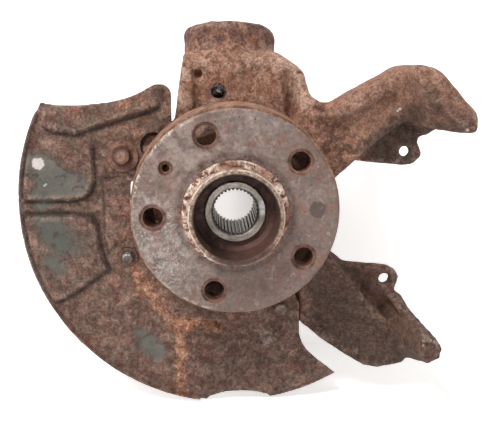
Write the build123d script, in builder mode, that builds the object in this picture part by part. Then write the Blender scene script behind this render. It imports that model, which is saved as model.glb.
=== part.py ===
"""Front steering knuckle with wheel hub, bearing and splash shield, left-hand side, in millimetres.

Frame: the origin is on the hub axis at the wheel face of the flange. +Y points inboard along
the hub axis, +X to the rear of the car, +Z up.
"""
import os
from math import asin, atan2, cos, degrees, radians, sin

from build123d import *

# ---------------------------------------------------------------- driving dimensions
# wheel hub
flange_r = 62.8
flange_t = 14.5
flange_edge_chamfer = 1.4
bolt_circle_r = 50.0
wheel_bolt_count = 5
wheel_bolt_first_angle = 38.4
wheel_bolt_hole_r = 6.2
wheel_bolt_mouth_r = 7.0
wheel_bolt_mouth_depth = 0.4
disc_screw_angle = 146.4
disc_screw_hole_r = 2.5
disc_screw_mouth_r = 4.4
gauge_spot_angle = 2.4
gauge_spot_r = 5.3
gauge_spot_depth = 0.4
spigot_r = 28.55
spigot_length = 16.0
spigot_mouth_r = 25.4
disc_seat_r = 32.5
disc_seat_length = 3.0
recess_floor_y = 7.0
recess_ring_y = 5.0
recess_ring_r = 18.3
spline_teeth = 36
spline_tip_r = 13.3
spline_root_r = 14.4
spline_length = 44.5
spline_mouth_r = 15.2
spline_relief_r = 16.0
hub_end_inset = 1.0

# speed sensor ring on the flange rim
tone_ring_t = 1.2
tone_ring_y = 4.5
tone_ring_width = 13.0
tone_window_count = 45
tone_window_first_angle = 122.7
tone_window_length = 4.8
tone_window_width = 3.4
tone_window_y = 6.2

# double-row wheel bearing
bearing_bore_r = 19.5
bearing_outer_r = 36.0
bearing_width = 37.0
bearing_y = 22.0
bearing_inner_land_r = 24.6
bearing_outer_land_r = 31.0
ball_r = 5.55
ball_count = 13
ball_pitch_r = 27.75
ball_row_offset = 7.4
race_clearance = 0.05
cage_inner_r = 26.5
cage_outer_r = 29.0
cage_clearance = 0.2
cage_back = 7.0
cage_lip = 2.4
seal_width = 2.6
seal_seat_depth = 3.2
seal_inset = 0.3
seal_face_depth = 0.9
seal_seat_r = 33.0
seal_lip_clearance = 0.3

# circlip that holds the bearing
circlip_t = 1.75
circlip_groove_width = 2.0
circlip_groove_r = 38.2
circlip_inner_r = 32.4
circlip_gap_angle = 26.0
circlip_lug_r = 3.2
circlip_eye_r = 1.25
circlip_clearance = 0.1

# knuckle casting
ring_front_y = 17.5
bearing_back_wall = 4.0
ring_r = 49.0
back_opening_r = 31.0
column_front_y = 38.0
column_top = 97.5
column_shoulder = 88.0
column_pocket_depth = 4.0
column_groove_depth = 9.0
column_hollow_depth = 2.0
column_lip_r = 71.0
column_pit_r = 3.0
column_pit_depth = 5.0
clamp_tilt = 8.0
clamp_y = 77.0
clamp_z = 92.0
clamp_x = -1.0
clamp_r = 31.0
strut_r = 25.0
clamp_above = 21.0
clamp_below = 20.0
clamp_rim_round = 4.5
clamp_slot = 4.0
clamp_ear_reach = 49.0
clamp_ear_width = 38.0
clamp_ear_half_height = 15.0
clamp_bolt_reach = 37.0
clamp_bolt_r = 7.25
arm_front_y = 31.0
arm_back_y = 50.0
arm_rib_front_y = 24.0
bridge_front_y = -7.0
arm_overlap = 3.0
rib_slope = 20.0
haunch_slope = 26.0
haunch_end = 14.0
bevel_slope = 1.0
bevel_reach = 36.0
bevel_above = 24.0
bevel_below = 40.0
web_dish_depth = 2.5
tip_root = 7.0
block_front_y = 22.0
ear_front_y = 47.0
ear_t = 7.5
upper_guide = (115.3, 32.0)
lower_guide = (104.8, -56.3)
gusset_x = 23.0
gusset_t = 7.0
guide_hole_r = 3.85
joint_boss_x = 4.0
joint_boss_y = 64.0
joint_boss_z = -100.0
joint_boss_r = 17.0
joint_bore_r = 9.5
joint_boss_half = 18.0
joint_slot = 3.0
joint_bolt_r = 5.25
joint_bolt_reach = 15.0
joint_ear_reach = 26.0
joint_ear_half = 11.0
joint_web_y = 45.0
steer_boss_x = 85.0
steer_boss_y = 96.0
steer_boss_z = 45.0
steer_boss_r = 13.0
steer_boss_half = 11.0
steer_web_half = 7.0
steer_taper_small_r = 5.8
steer_taper_large_r = 7.2

# splash shield
shield_t = 1.2
shield_back_y = 34.0
shield_r = 137.0
shield_rim_height = 3.0
shield_start_angle = 151.3
shield_end_angle = 300.2
rim_start_angle = 154.0
rim_end_angle = 260.0
shield_inner_r = 52.0
joint_relief = (3.0, -136.5)
joint_relief_size = (22.0, 7.0)
flange_notch = (-51.0, 38.0)
flange_notch_r = 8.2
edge_slit = (-61.3, 8.8)
edge_slit_size = (10.0, 13.6)
pad_height = 2.4
pad_corner_r = 5.0
pad_slope = 40.0
bead_width = 4.4
bead_height = 1.2
shield_pads = {
    "upper band": [(-117, 48), (-107, 46), (-94, 46), (-75, 52), (-60, 58), (-46, 61.5), (-46, 68),
                   (-62, 68), (-80, 62.5), (-97, 59.5), (-115, 59.5)],
    "upper pad": [(-90, 40), (-87, 25), (-87, 12), (-93, 5), (-127, 3), (-130, 22), (-124, 42), (-98, 43)],
    "lower pad": [(-129, -6), (-90, -6), (-86, -22), (-82, -33), (-80, -42), (-93, -51), (-109, -61),
                  (-120, -44), (-127, -24)],
}
shield_beads = {
    "upright bead": [(-38.2, -73), (-36.6, -94), (-35.9, -121)],
    "cross bead": [(-36, -79), (-13, -81)],
}

# shield screws
lug_r = 10.0
lug_t = 13.0
lug_web_y = 38.0
screw_circle = {"upper": 155.8, "lower": 206.3, "bottom": 293.5}
screw_circle_r = 77.2
screw_r = 3.0
screw_length = 12.0
screw_hex = 10.0
screw_head_t = 4.0
screw_flange_r = 6.6
screw_flange_t = 1.2
screw_hole_r = 3.4
round_screw_washer_r = 10.0
round_screw_head_r = 5.4
round_screw_socket_r = 2.3
thread_clearance = 0.02

# speed sensor, which slopes down behind the bearing ring, below the strut
sensor_tilt = 20.0
sensor_x = -9.4
sensor_y = 37.0
sensor_z = 73.9
sensor_nose_r = 4.2
sensor_nose_length = 26.0
sensor_body_r = 6.8
sensor_seat = 46.0
sensor_flange_r = 8.5
sensor_flange_t = 4.0
sensor_screw_offset = 16.0
sensor_socket_length = 12.0
sensor_clearance = 0.1
sensor_flat_size = (17.0, 14.0)
sensor_flat_shift = -4.2

os.makedirs("parts", exist_ok=True)


def station(y):
    """Plane facing outboard at y, with local x to the rear and local y up."""
    return Plane(origin=(0, y, 0), x_dir=(1, 0, 0), z_dir=(0, -1, 0))


def on_circle(radius, angle):
    """Point on a circle about the hub axis, in the local axes of a station plane."""
    return (radius * cos(radians(angle)), radius * sin(radians(angle)))


def save(part, name):
    """Label a finished piece and write it."""
    part.label = name
    export_step(part, f"parts/{name}.step")


bearing_end_y = bearing_y + bearing_width
ring_back_y = bearing_end_y + bearing_back_wall
bearing_mid_y = bearing_y + bearing_width / 2
groove_y = bearing_y - circlip_groove_width
row_y = {"outboard": bearing_mid_y - ball_row_offset, "inboard": bearing_mid_y + ball_row_offset}
race_r = ball_r + race_clearance
tone_ring_inner_r = flange_r
tone_ring_outer_r = flange_r + tone_ring_t
screw_points = {name: on_circle(screw_circle_r, angle) for name, angle in screw_circle.items()}
shield_front_y = shield_back_y - shield_t

# ---------------------------------------------------------------- wheel hub
hub_end_y = bearing_end_y - hub_end_inset
spline_end_y = recess_ring_y + spline_length
shoulder_r = bearing_inner_land_r - 0.4
with BuildPart() as wheel_hub:
    with BuildSketch(Plane.XY):
        with BuildLine():
            Polyline(
                (spline_tip_r, recess_ring_y + spline_mouth_r - spline_tip_r),
                (spline_mouth_r, recess_ring_y),
                (recess_ring_r, recess_ring_y),
                (recess_ring_r + 0.8, recess_floor_y),
                (spigot_mouth_r - 3.4, recess_floor_y),
                (spigot_mouth_r - 0.9, recess_floor_y - 2.5),
                (spigot_mouth_r, 1.2 - spigot_length),
                (spigot_mouth_r + 1.0, -spigot_length),
                (spigot_r - 1.2, -spigot_length),
                (spigot_r, 1.2 - spigot_length),
                (spigot_r, -disc_seat_length),
                (disc_seat_r - 1.0, -disc_seat_length),
                (disc_seat_r, 1.0 - disc_seat_length),
                (disc_seat_r, 0),
                (flange_r - flange_edge_chamfer, 0),
                (flange_r, flange_edge_chamfer),
                (flange_r, flange_t),
                (bolt_circle_r - 14.0, flange_t),
                (shoulder_r + 3.0, flange_t + 1.5),
                (shoulder_r, flange_t + 4.0),
                (shoulder_r, bearing_y),
                (bearing_bore_r, bearing_y),
                (bearing_bore_r, hub_end_y - 1.0),
                (bearing_bore_r - 1.0, hub_end_y),
                (spline_relief_r, hub_end_y),
                (spline_relief_r, spline_end_y),
                (spline_tip_r, spline_end_y),
                close=True,
            )
        make_face()
    revolve(axis=Axis.Y)
    with BuildSketch(station(0)):
        with PolarLocations(bolt_circle_r, wheel_bolt_count, wheel_bolt_first_angle):
            Circle(wheel_bolt_hole_r)
        with Locations(on_circle(bolt_circle_r, disc_screw_angle)):
            Circle(disc_screw_hole_r)
    extrude(amount=-flange_t, mode=Mode.SUBTRACT)
    # shallow flare at the mouth of each threaded hole, so that the thread starts just below the face
    mouth_flare = degrees(atan2(wheel_bolt_mouth_r - wheel_bolt_hole_r, wheel_bolt_mouth_depth))
    with BuildSketch(station(0)):
        with PolarLocations(bolt_circle_r, wheel_bolt_count, wheel_bolt_first_angle):
            Circle(wheel_bolt_mouth_r)
    extrude(amount=-wheel_bolt_mouth_depth, taper=mouth_flare, mode=Mode.SUBTRACT)
    with BuildSketch(station(0)):
        with Locations(on_circle(bolt_circle_r, disc_screw_angle)):
            Circle(disc_screw_mouth_r)
    extrude(amount=-(disc_screw_mouth_r - disc_screw_hole_r), taper=45, mode=Mode.SUBTRACT)
    with BuildSketch(station(0)):
        with Locations(on_circle(bolt_circle_r, gauge_spot_angle)):
            Circle(gauge_spot_r)
    extrude(amount=-gauge_spot_depth, mode=Mode.SUBTRACT)
    # spline: each space is a trapezium that narrows towards the root, cut right through
    tooth_pitch = 360 / spline_teeth
    mouth_half = spline_tip_r * radians(tooth_pitch) * 0.30
    root_half = spline_root_r * radians(tooth_pitch) * 0.17
    mouth_x = spline_tip_r * 0.99
    with BuildSketch(station(recess_ring_y)):
        with PolarLocations(0, spline_teeth):
            Polygon(
                (mouth_x, -mouth_half),
                (spline_root_r, -root_half),
                (spline_root_r, root_half),
                (mouth_x, mouth_half),
                align=None,
            )
    extrude(amount=-spline_length, mode=Mode.SUBTRACT)
save(wheel_hub.part, "wheel_hub")

# ---------------------------------------------------------------- speed sensor ring
with BuildPart() as tone_ring:
    with BuildSketch(station(tone_ring_y)):
        Circle(tone_ring_outer_r)
        Circle(tone_ring_inner_r, mode=Mode.SUBTRACT)
    extrude(amount=-tone_ring_width)
    # the rear edge is turned inwards behind the flange
    with BuildSketch(station(flange_t)):
        Circle(tone_ring_outer_r)
        Circle(flange_r - 6.0, mode=Mode.SUBTRACT)
    extrude(amount=-tone_ring_t)
    with BuildSketch(station(tone_window_y)):
        with PolarLocations(tone_ring_outer_r, tone_window_count, tone_window_first_angle):
            Rectangle(3 * tone_ring_t, tone_window_length)
    extrude(amount=-tone_window_width, mode=Mode.SUBTRACT)
save(tone_ring.part, "speed_sensor_ring")

# ---------------------------------------------------------------- wheel bearing
with BuildPart() as outer_race:
    with BuildSketch(Plane.XY):
        with BuildLine():
            Polyline(
                (seal_seat_r, bearing_y),
                (bearing_outer_r - 0.8, bearing_y),
                (bearing_outer_r, bearing_y + 0.8),
                (bearing_outer_r, bearing_end_y - 0.8),
                (bearing_outer_r - 0.8, bearing_end_y),
                (seal_seat_r, bearing_end_y),
                (seal_seat_r, bearing_end_y - seal_seat_depth),
                (bearing_outer_land_r, bearing_end_y - seal_seat_depth),
                (bearing_outer_land_r, bearing_y + seal_seat_depth),
                (seal_seat_r, bearing_y + seal_seat_depth),
                close=True,
            )
        make_face()
        for y in row_y.values():
            with Locations((ball_pitch_r, y)):
                Circle(race_r, mode=Mode.SUBTRACT)
    revolve(axis=Axis.Y)
save(outer_race.part, "bearing_outer_ring")

for side, y in row_y.items():
    outward = -1 if side == "outboard" else 1
    end_y = bearing_y if side == "outboard" else bearing_end_y

    with BuildPart() as inner_race:
        with BuildSketch(Plane.XY):
            Polygon(
                (bearing_bore_r, bearing_mid_y),
                (bearing_bore_r, end_y),
                (bearing_inner_land_r, end_y),
                (bearing_inner_land_r, bearing_mid_y),
                align=None,
            )
            with Locations((ball_pitch_r, y)):
                Circle(race_r, mode=Mode.SUBTRACT)
        revolve(axis=Axis.Y)
    save(inner_race.part, f"bearing_inner_ring_{side}")

    with BuildPart() as balls:
        ball_points = [on_circle(ball_pitch_r, 360 / ball_count * i) for i in range(ball_count)]
        with Locations([(x, y, z) for x, z in ball_points]):
            Sphere(ball_r)
    save(balls.part, f"bearing_balls_{side}")

    # crown cage: a closed back outside the row, with pockets that open towards the middle
    with BuildPart() as cage:
        with BuildSketch(station(y + outward * cage_back)):
            Circle(cage_outer_r)
            Circle(cage_inner_r, mode=Mode.SUBTRACT)
        extrude(amount=outward * (cage_back + cage_lip))
        for x, z in ball_points:
            with BuildSketch(Plane(origin=(0, y, 0), z_dir=(x, 0, z)).offset(cage_inner_r - 3)):
                Circle(ball_r + cage_clearance)
            extrude(amount=cage_outer_r - cage_inner_r + 6, mode=Mode.SUBTRACT)
    save(cage.part, f"bearing_cage_{side}")

    with BuildPart() as seal:
        with BuildSketch(station(end_y - outward * seal_inset)):
            Circle(seal_seat_r)
            Circle(bearing_inner_land_r + seal_lip_clearance, mode=Mode.SUBTRACT)
        extrude(amount=outward * seal_width)
        with BuildSketch(station(end_y - outward * seal_inset)):
            Circle(seal_seat_r - 2.2)
            Circle(bearing_inner_land_r + 1.6, mode=Mode.SUBTRACT)
        extrude(amount=outward * seal_face_depth, mode=Mode.SUBTRACT)
    save(seal.part, f"bearing_seal_{side}")

# ---------------------------------------------------------------- bearing circlip
circlip_outer_r = circlip_groove_r - circlip_clearance
lug_circle_r = circlip_inner_r + 1.0
with BuildPart() as circlip:
    with BuildSketch(station(bearing_y - circlip_t)):
        Circle(circlip_outer_r)
        Circle(circlip_inner_r, mode=Mode.SUBTRACT)
        # the ring narrows towards the gap at the bottom
        gap_reach = circlip_outer_r * 1.5
        gap_half = gap_reach * sin(radians(circlip_gap_angle / 2))
        Polygon((0, 0), (gap_half, -gap_reach), (-gap_half, -gap_reach), align=None,
                mode=Mode.SUBTRACT)
        lug_angle = circlip_gap_angle / 2 + degrees(asin(circlip_lug_r / lug_circle_r))
        with Locations(on_circle(lug_circle_r, -90 - lug_angle), on_circle(lug_circle_r, -90 + lug_angle)):
            Circle(circlip_lug_r)
            Circle(circlip_eye_r, mode=Mode.SUBTRACT)
    extrude(amount=-circlip_t)
save(circlip.part, "bearing_circlip")

# ---------------------------------------------------------------- knuckle casting
clamp_plane = Plane(
    origin=(clamp_x, clamp_y, clamp_z),
    x_dir=(1, 0, 0),
    z_dir=(0, sin(radians(clamp_tilt)), cos(radians(clamp_tilt))),
)
joint_plane = Plane(origin=(joint_boss_x, joint_boss_y, joint_boss_z), x_dir=(1, 0, 0),
                    z_dir=clamp_plane.z_dir)
sensor_plane = Plane(origin=(sensor_x, sensor_y, sensor_z), x_dir=(1, 0, 0),
                     z_dir=(0, cos(radians(sensor_tilt)), -sin(radians(sensor_tilt))))

# column from the bearing ring to the strut clamp, with its sloping shoulder and side ribs
with BuildPart() as column:
    with BuildSketch(station(column_front_y)) as outline:
        Polygon(
            (-34, 10), (-37.4, 30), (-37.4, 55), (-31.5, column_top), (28.5, column_top),
            (46, 84.5), (49.5, 70), (56, 62), (46, 10),
            align=None,
        )
        fillet(outline.vertices().filter_by_position(Axis.Y, 80, 90), 8)
    extrude(amount=-(ring_back_y - column_front_y))
    with BuildSketch(Plane.YZ.offset(-80)):
        Polygon(
            (column_front_y, 0), (column_front_y, column_shoulder), (column_front_y + 8, column_top),
            (ring_back_y, column_top), (ring_back_y, 0),
            align=None,
        )
    extrude(amount=160, mode=Mode.INTERSECT)
    fillet(column.edges().group_by(Axis.Y)[0], 3)
    # hollow between the ribs, which stops at a lip round the flange
    with BuildSketch(station(column_front_y)) as hollow:
        Polygon((-21, 60), (-21, 86), (-12, 89), (26, 89), (30, 84), (30, 60), align=None)
        fillet(hollow.vertices(), 3)
        Circle(column_lip_r, mode=Mode.SUBTRACT)
    extrude(amount=-column_hollow_depth, taper=40, mode=Mode.SUBTRACT)
    # narrow groove beside the front rib with a pit at its head, wide groove beside the rear rib
    with BuildSketch(station(column_front_y)) as groove:
        Polygon((-26.5, 40), (-26, 82), (-24, 87), (-19, 87), (-18, 80), (-20, 40), align=None)
        fillet(groove.vertices(), 1.5)
    extrude(amount=-column_pocket_depth, taper=20, mode=Mode.SUBTRACT)
    with BuildSketch(station(column_front_y)):
        with Locations((-22, 83.4)):
            Circle(column_pit_r)
    extrude(amount=-(column_pocket_depth + column_pit_depth), mode=Mode.SUBTRACT)
    with BuildSketch(station(column_front_y)) as groove:
        Polygon((27.5, 90), (36, 87.5), (41.5, 74), (43, 50), (33, 50), (32, 72), align=None)
        fillet(groove.vertices(), 2.5)
    extrude(amount=-column_groove_depth, taper=20, mode=Mode.SUBTRACT)
    # sunk flat in which the speed sensor's nose comes out
    with BuildSketch(station(column_front_y)):
        with Locations((sensor_x + sensor_flat_shift, sensor_z)):
            RectangleRounded(*sensor_flat_size, 3)
    extrude(amount=-column_pocket_depth, taper=8, mode=Mode.SUBTRACT)

# arm above the brake disc: flat web, rounded upper rib and the bridge over the disc's edge
with BuildPart() as upper_arm:
    with BuildSketch(station(arm_front_y)) as web:
        Polygon(
            (36, 0), (36, 50), (46, 70), (50.5, 68), (56, 64.6), (63, 65), (94.5, 82), (104, 88),
            (117, 89.6), (128, 78), (122, 57), (110, 52.3), (93, 40), (65.5, 16), (52, 0),
            align=None,
        )
        fillet(web.vertices().filter_by_position(Axis.X, 60, 130), 3)
    extrude(amount=-(arm_back_y - arm_front_y))
    fillet(upper_arm.edges().group_by(Axis.Y)[0], 3.5)
    # rib along the upper edge, which narrows from its foot on the web to its crest
    with BuildSketch(station(arm_front_y + arm_overlap)) as rib:
        Polygon((50, 62), (64, 65.2), (94.5, 82), (106, 88.3), (118, 86), (119, 77.5), (103, 70), (72, 54),
                (52, 52), align=None)
        fillet(rib.vertices(), 2)
    extrude(amount=arm_front_y + arm_overlap - arm_rib_front_y, taper=rib_slope)
    with BuildSketch(station(bridge_front_y)) as bridge:
        Polygon(
            (104, 85), (107, 88.7), (114.3, 87.4), (121.6, 83), (137.4, 66.5), (144.6, 59), (145, 50),
            (142.8, 46.8), (117.5, 50.2), (111, 68),
            align=None,
        )
        fillet(bridge.vertices(), 2)
    extrude(amount=-(arm_back_y - bridge_front_y))
    # the bridge spreads towards the web
    with BuildSketch(station(arm_front_y + arm_overlap)) as haunch:
        Polygon((97, 83), (99.5, 70), (105, 59), (112, 53), (128, 50), (132, 72), (112, 88), align=None)
        fillet(haunch.vertices(), 2)
    extrude(amount=arm_front_y + arm_overlap - bridge_front_y - haunch_end, taper=haunch_slope)
    # long bevel that clears the disc below the bridge's front edge
    bevel_plane = Plane(origin=(119, bridge_front_y, 66.5), x_dir=(-0.663, 0, -0.749),
                        z_dir=(0.749, 0, -0.663))
    with BuildSketch(bevel_plane.offset(-bevel_above)):
        Polygon((0, 0), (0, -5), (bevel_reach, -5), (bevel_reach, bevel_reach * bevel_slope), align=None)
    extrude(amount=bevel_above + bevel_below, mode=Mode.SUBTRACT)
    # abutment block and the thin ear that carries the guide bolt
    with BuildSketch(station(arm_front_y + 4)):
        Polygon((118, 60), (130, 60), (130, 44), (122, 43.6), align=None)
    extrude(amount=-(arm_back_y - arm_front_y - 4))
    with BuildSketch(station(ear_front_y)) as ear:
        Polygon(
            (78, 26.5), (100, 24.4), (114.5, 23), (121, 23.6), (126.4, 28.5), (126.2, 32), (123.2, 38.8),
            (125, 42.6), (131.5, 43), (129, 62), (80, 60),
            align=None,
        )
        fillet(ear.vertices(), 2)
    extrude(amount=-ear_t)
    with BuildSketch(station(ear_front_y)):
        with Locations(upper_guide):
            Circle(guide_hole_r)
    extrude(amount=-ear_t, mode=Mode.SUBTRACT)

# arm below the disc: broad dished web, tapered bridge, machined abutment and ear
with BuildPart() as lower_arm:
    with BuildSketch(station(arm_front_y)) as web:
        Polygon(
            (34, -20), (34, -36), (44.2, -42), (44.2, -81), (57.6, -92.8), (73, -103.8), (88.7, -113.4),
            (99, -115), (116, -112), (122, -100), (121, -80), (104, -80.5), (93.6, -71), (83, -58),
            (70, -42.5), (56, -26),
            align=None,
        )
        fillet(web.vertices().filter_by_position(Axis.X, 60, 130), 3)
    extrude(amount=-(arm_back_y - arm_front_y))
    fillet(lower_arm.edges().group_by(Axis.Y)[0], 3)
    # shallow dish in the web
    with BuildSketch(station(arm_front_y)) as dish:
        Polygon((52, -46), (51, -79), (72, -97), (97, -106), (103, -92), (80, -62), (65, -44), align=None)
        fillet(dish.vertices(), 8)
    extrude(amount=-web_dish_depth, taper=65, mode=Mode.SUBTRACT)
    base = [(107, -76), (116, -71), (126, -85), (127, -98), (117, -110), (103, -98)]
    tip = [(116.6, -77.9), (124.8, -79.2), (129.5, -86.7), (128.5, -92.9), (120.4, -96.6), (114.8, -90.3)]
    with BuildSketch(station(arm_front_y + tip_root)):
        Polygon(*base, align=None)
    with BuildSketch(station(bridge_front_y)):
        Polygon(*tip, align=None)
    loft(ruled=True)
    with BuildSketch(station(arm_front_y + tip_root)):
        Polygon(*base, align=None)
    extrude(amount=-(arm_back_y - arm_front_y - tip_root))
    # machined block along the disc side, from the ear to the bridge
    with BuildSketch(station(block_front_y)):
        Polygon((104.4, -66), (109.9, -65.2), (112.5, -66), (122.3, -78), (128.3, -86.6), (125, -89),
                (116.6, -76.5), (110.3, -73.6), align=None)
    extrude(amount=-(arm_back_y - block_front_y))
    with BuildSketch(station(ear_front_y)) as ear:
        Polygon(
            (56, -28), (67, -37), (75, -43.5), (90, -45), (106.8, -47.4), (113, -51), (114.8, -55.4),
            (111.6, -65), (118, -70), (122, -77), (112, -95), (80, -80), (56, -50),
            align=None,
        )
        fillet(ear.vertices(), 2)
    extrude(amount=-ear_t)
    with BuildSketch(station(ear_front_y)):
        with Locations(lower_guide):
            Circle(guide_hole_r)
    extrude(amount=-ear_t, mode=Mode.SUBTRACT)

# strut clamp with a rounded top rim
with BuildPart() as clamp:
    with BuildSketch(clamp_plane.offset(-clamp_below)):
        Circle(clamp_r)
    extrude(amount=clamp_below + clamp_above)
    fillet(clamp.edges().sort_by(Axis.Z)[-1], clamp_rim_round)

with BuildPart() as knuckle:
    # bearing ring
    with BuildSketch(station(ring_front_y)):
        Circle(ring_r)
    extrude(amount=-(ring_back_y - ring_front_y))
    chamfer(knuckle.edges().group_by(Axis.Y)[-1], 3)
    chamfer(knuckle.edges().group_by(Axis.Y)[0], 1.5)
    add(column.part)
    add(upper_arm.part)
    add(lower_arm.part)

    # strut clamp and its two ears
    add(clamp.part)
    with BuildSketch(clamp_plane.offset(-clamp_ear_half_height)) as ears:
        with Locations((0, clamp_ear_reach / 2)):
            Rectangle(clamp_ear_width, clamp_ear_reach)
        fillet(ears.vertices().sort_by(Axis.Y)[-2:], 6)
    extrude(amount=2 * clamp_ear_half_height)
    # gussets from the back of the bearing ring to the foot of the clamp
    for x in (clamp_x - gusset_x, clamp_x + gusset_x):
        with BuildSketch(Plane.YZ.offset(x - gusset_t / 2)):
            Polygon((50, 20), (50, 80), (clamp_y + 14, 70), (ring_back_y, 26), align=None)
        extrude(amount=gusset_t)

    # lugs for the splash shield
    for point in screw_points.values():
        with BuildSketch(station(shield_back_y)):
            with Locations(point):
                Circle(lug_r)
            with Locations((point[0] * 0.5, point[1] * 0.5)):
                Circle(lug_r + 3)
            make_hull()
        extrude(amount=-lug_t)

    # web between the column and the upper lug
    with BuildSketch(station(lug_web_y)):
        Polygon((-34, 54), (-45, 52), (-56, 46), (-64, 38), (-60, 24), (-34, 6), align=None)
    extrude(amount=-(shield_back_y + lug_t - lug_web_y))

    # lower boss for the ball joint, with its web
    with BuildSketch(station(joint_web_y)):
        with Locations((0, -34)):
            Circle(26)
        with Locations((joint_boss_x, joint_boss_z + 4)):
            Circle(joint_boss_r - 2)
        make_hull()
    extrude(amount=-(ring_back_y - joint_web_y))
    with BuildSketch(joint_plane.offset(-joint_boss_half)):
        Circle(joint_boss_r)
    extrude(amount=2 * joint_boss_half)
    with BuildSketch(joint_plane.offset(-joint_ear_half)):
        with Locations((0, joint_ear_reach / 2)):
            Rectangle(2 * joint_boss_r, joint_ear_reach)
    extrude(amount=2 * joint_ear_half)

    # steering arm
    with BuildSketch(Plane.XY.offset(steer_boss_z - steer_web_half)):
        with Locations((40, 50)):
            Circle(12)
        with Locations((steer_boss_x, steer_boss_y)):
            Circle(steer_boss_r - 1)
        make_hull()
    extrude(amount=2 * steer_web_half)
    with BuildSketch(Plane.XY.offset(steer_boss_z - steer_boss_half)):
        with Locations((steer_boss_x, steer_boss_y)):
            Circle(steer_boss_r)
    extrude(amount=2 * steer_boss_half)

    # seat for the speed sensor's flange
    with BuildSketch(sensor_plane.offset(sensor_nose_length)):
        Circle(sensor_flange_r)
        with Locations((sensor_screw_offset, 0)):
            Circle(sensor_flange_r - 2)
        make_hull()
    extrude(amount=sensor_seat - sensor_nose_length)

    # bores and slots, cut last
    with BuildSketch(Plane.XY):
        with BuildLine():
            Polyline(
                (0, 0), (bearing_outer_r + 1, 0), (bearing_outer_r + 1, ring_front_y),
                (bearing_outer_r, ring_front_y + 1), (bearing_outer_r, groove_y),
                (circlip_groove_r, groove_y), (circlip_groove_r, bearing_y), (bearing_outer_r, bearing_y),
                (bearing_outer_r, bearing_end_y), (back_opening_r, bearing_end_y),
                (back_opening_r, ring_back_y + 60), (0, ring_back_y + 60),
                close=True,
            )
        make_face()
    revolve(axis=Axis.Y, mode=Mode.SUBTRACT)
    with BuildSketch(clamp_plane.offset(-clamp_below)):
        Circle(strut_r)
    extrude(amount=clamp_below + clamp_above, mode=Mode.SUBTRACT)
    with BuildSketch(clamp_plane.offset(-clamp_below)):
        with Locations((0, clamp_ear_reach / 2 + 5)):
            Rectangle(clamp_slot, clamp_ear_reach + 10)
    extrude(amount=clamp_below + clamp_above, mode=Mode.SUBTRACT)
    with Locations(clamp_plane * Location((0, clamp_bolt_reach, 0), (0, 90, 0))):
        Cylinder(clamp_bolt_r, 2 * clamp_ear_width, mode=Mode.SUBTRACT)
    with BuildSketch(joint_plane.offset(-joint_boss_half)):
        Circle(joint_bore_r)
    extrude(amount=2 * joint_boss_half, mode=Mode.SUBTRACT)
    with BuildSketch(joint_plane.offset(-joint_boss_half)):
        with Locations((0, joint_ear_reach / 2 + 5)):
            Rectangle(joint_slot, joint_ear_reach + 10)
    extrude(amount=2 * joint_boss_half, mode=Mode.SUBTRACT)
    with Locations(joint_plane * Location((0, joint_bolt_reach, 0), (0, 90, 0))):
        Cylinder(joint_bolt_r, 4 * joint_boss_r, mode=Mode.SUBTRACT)
    with Locations((steer_boss_x, steer_boss_y, steer_boss_z)):
        Cone(steer_taper_large_r, steer_taper_small_r, 2 * steer_boss_half, mode=Mode.SUBTRACT)
    for point in screw_points.values():
        with BuildSketch(station(shield_back_y)):
            with Locations(point):
                Circle(screw_r + thread_clearance)
        extrude(amount=-lug_t, mode=Mode.SUBTRACT)
    with BuildSketch(sensor_plane):
        Circle(sensor_nose_r + sensor_clearance)
    extrude(amount=sensor_nose_length, mode=Mode.SUBTRACT)
    with BuildSketch(sensor_plane.offset(sensor_nose_length)):
        Circle(sensor_body_r + sensor_clearance)
    extrude(amount=sensor_seat, mode=Mode.SUBTRACT)
    with BuildSketch(sensor_plane.offset(sensor_seat)):
        with Locations((sensor_screw_offset, 0)):
            Circle(screw_r + thread_clearance)
    extrude(amount=-screw_length, mode=Mode.SUBTRACT)
save(knuckle.part, "knuckle_casting")

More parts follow.
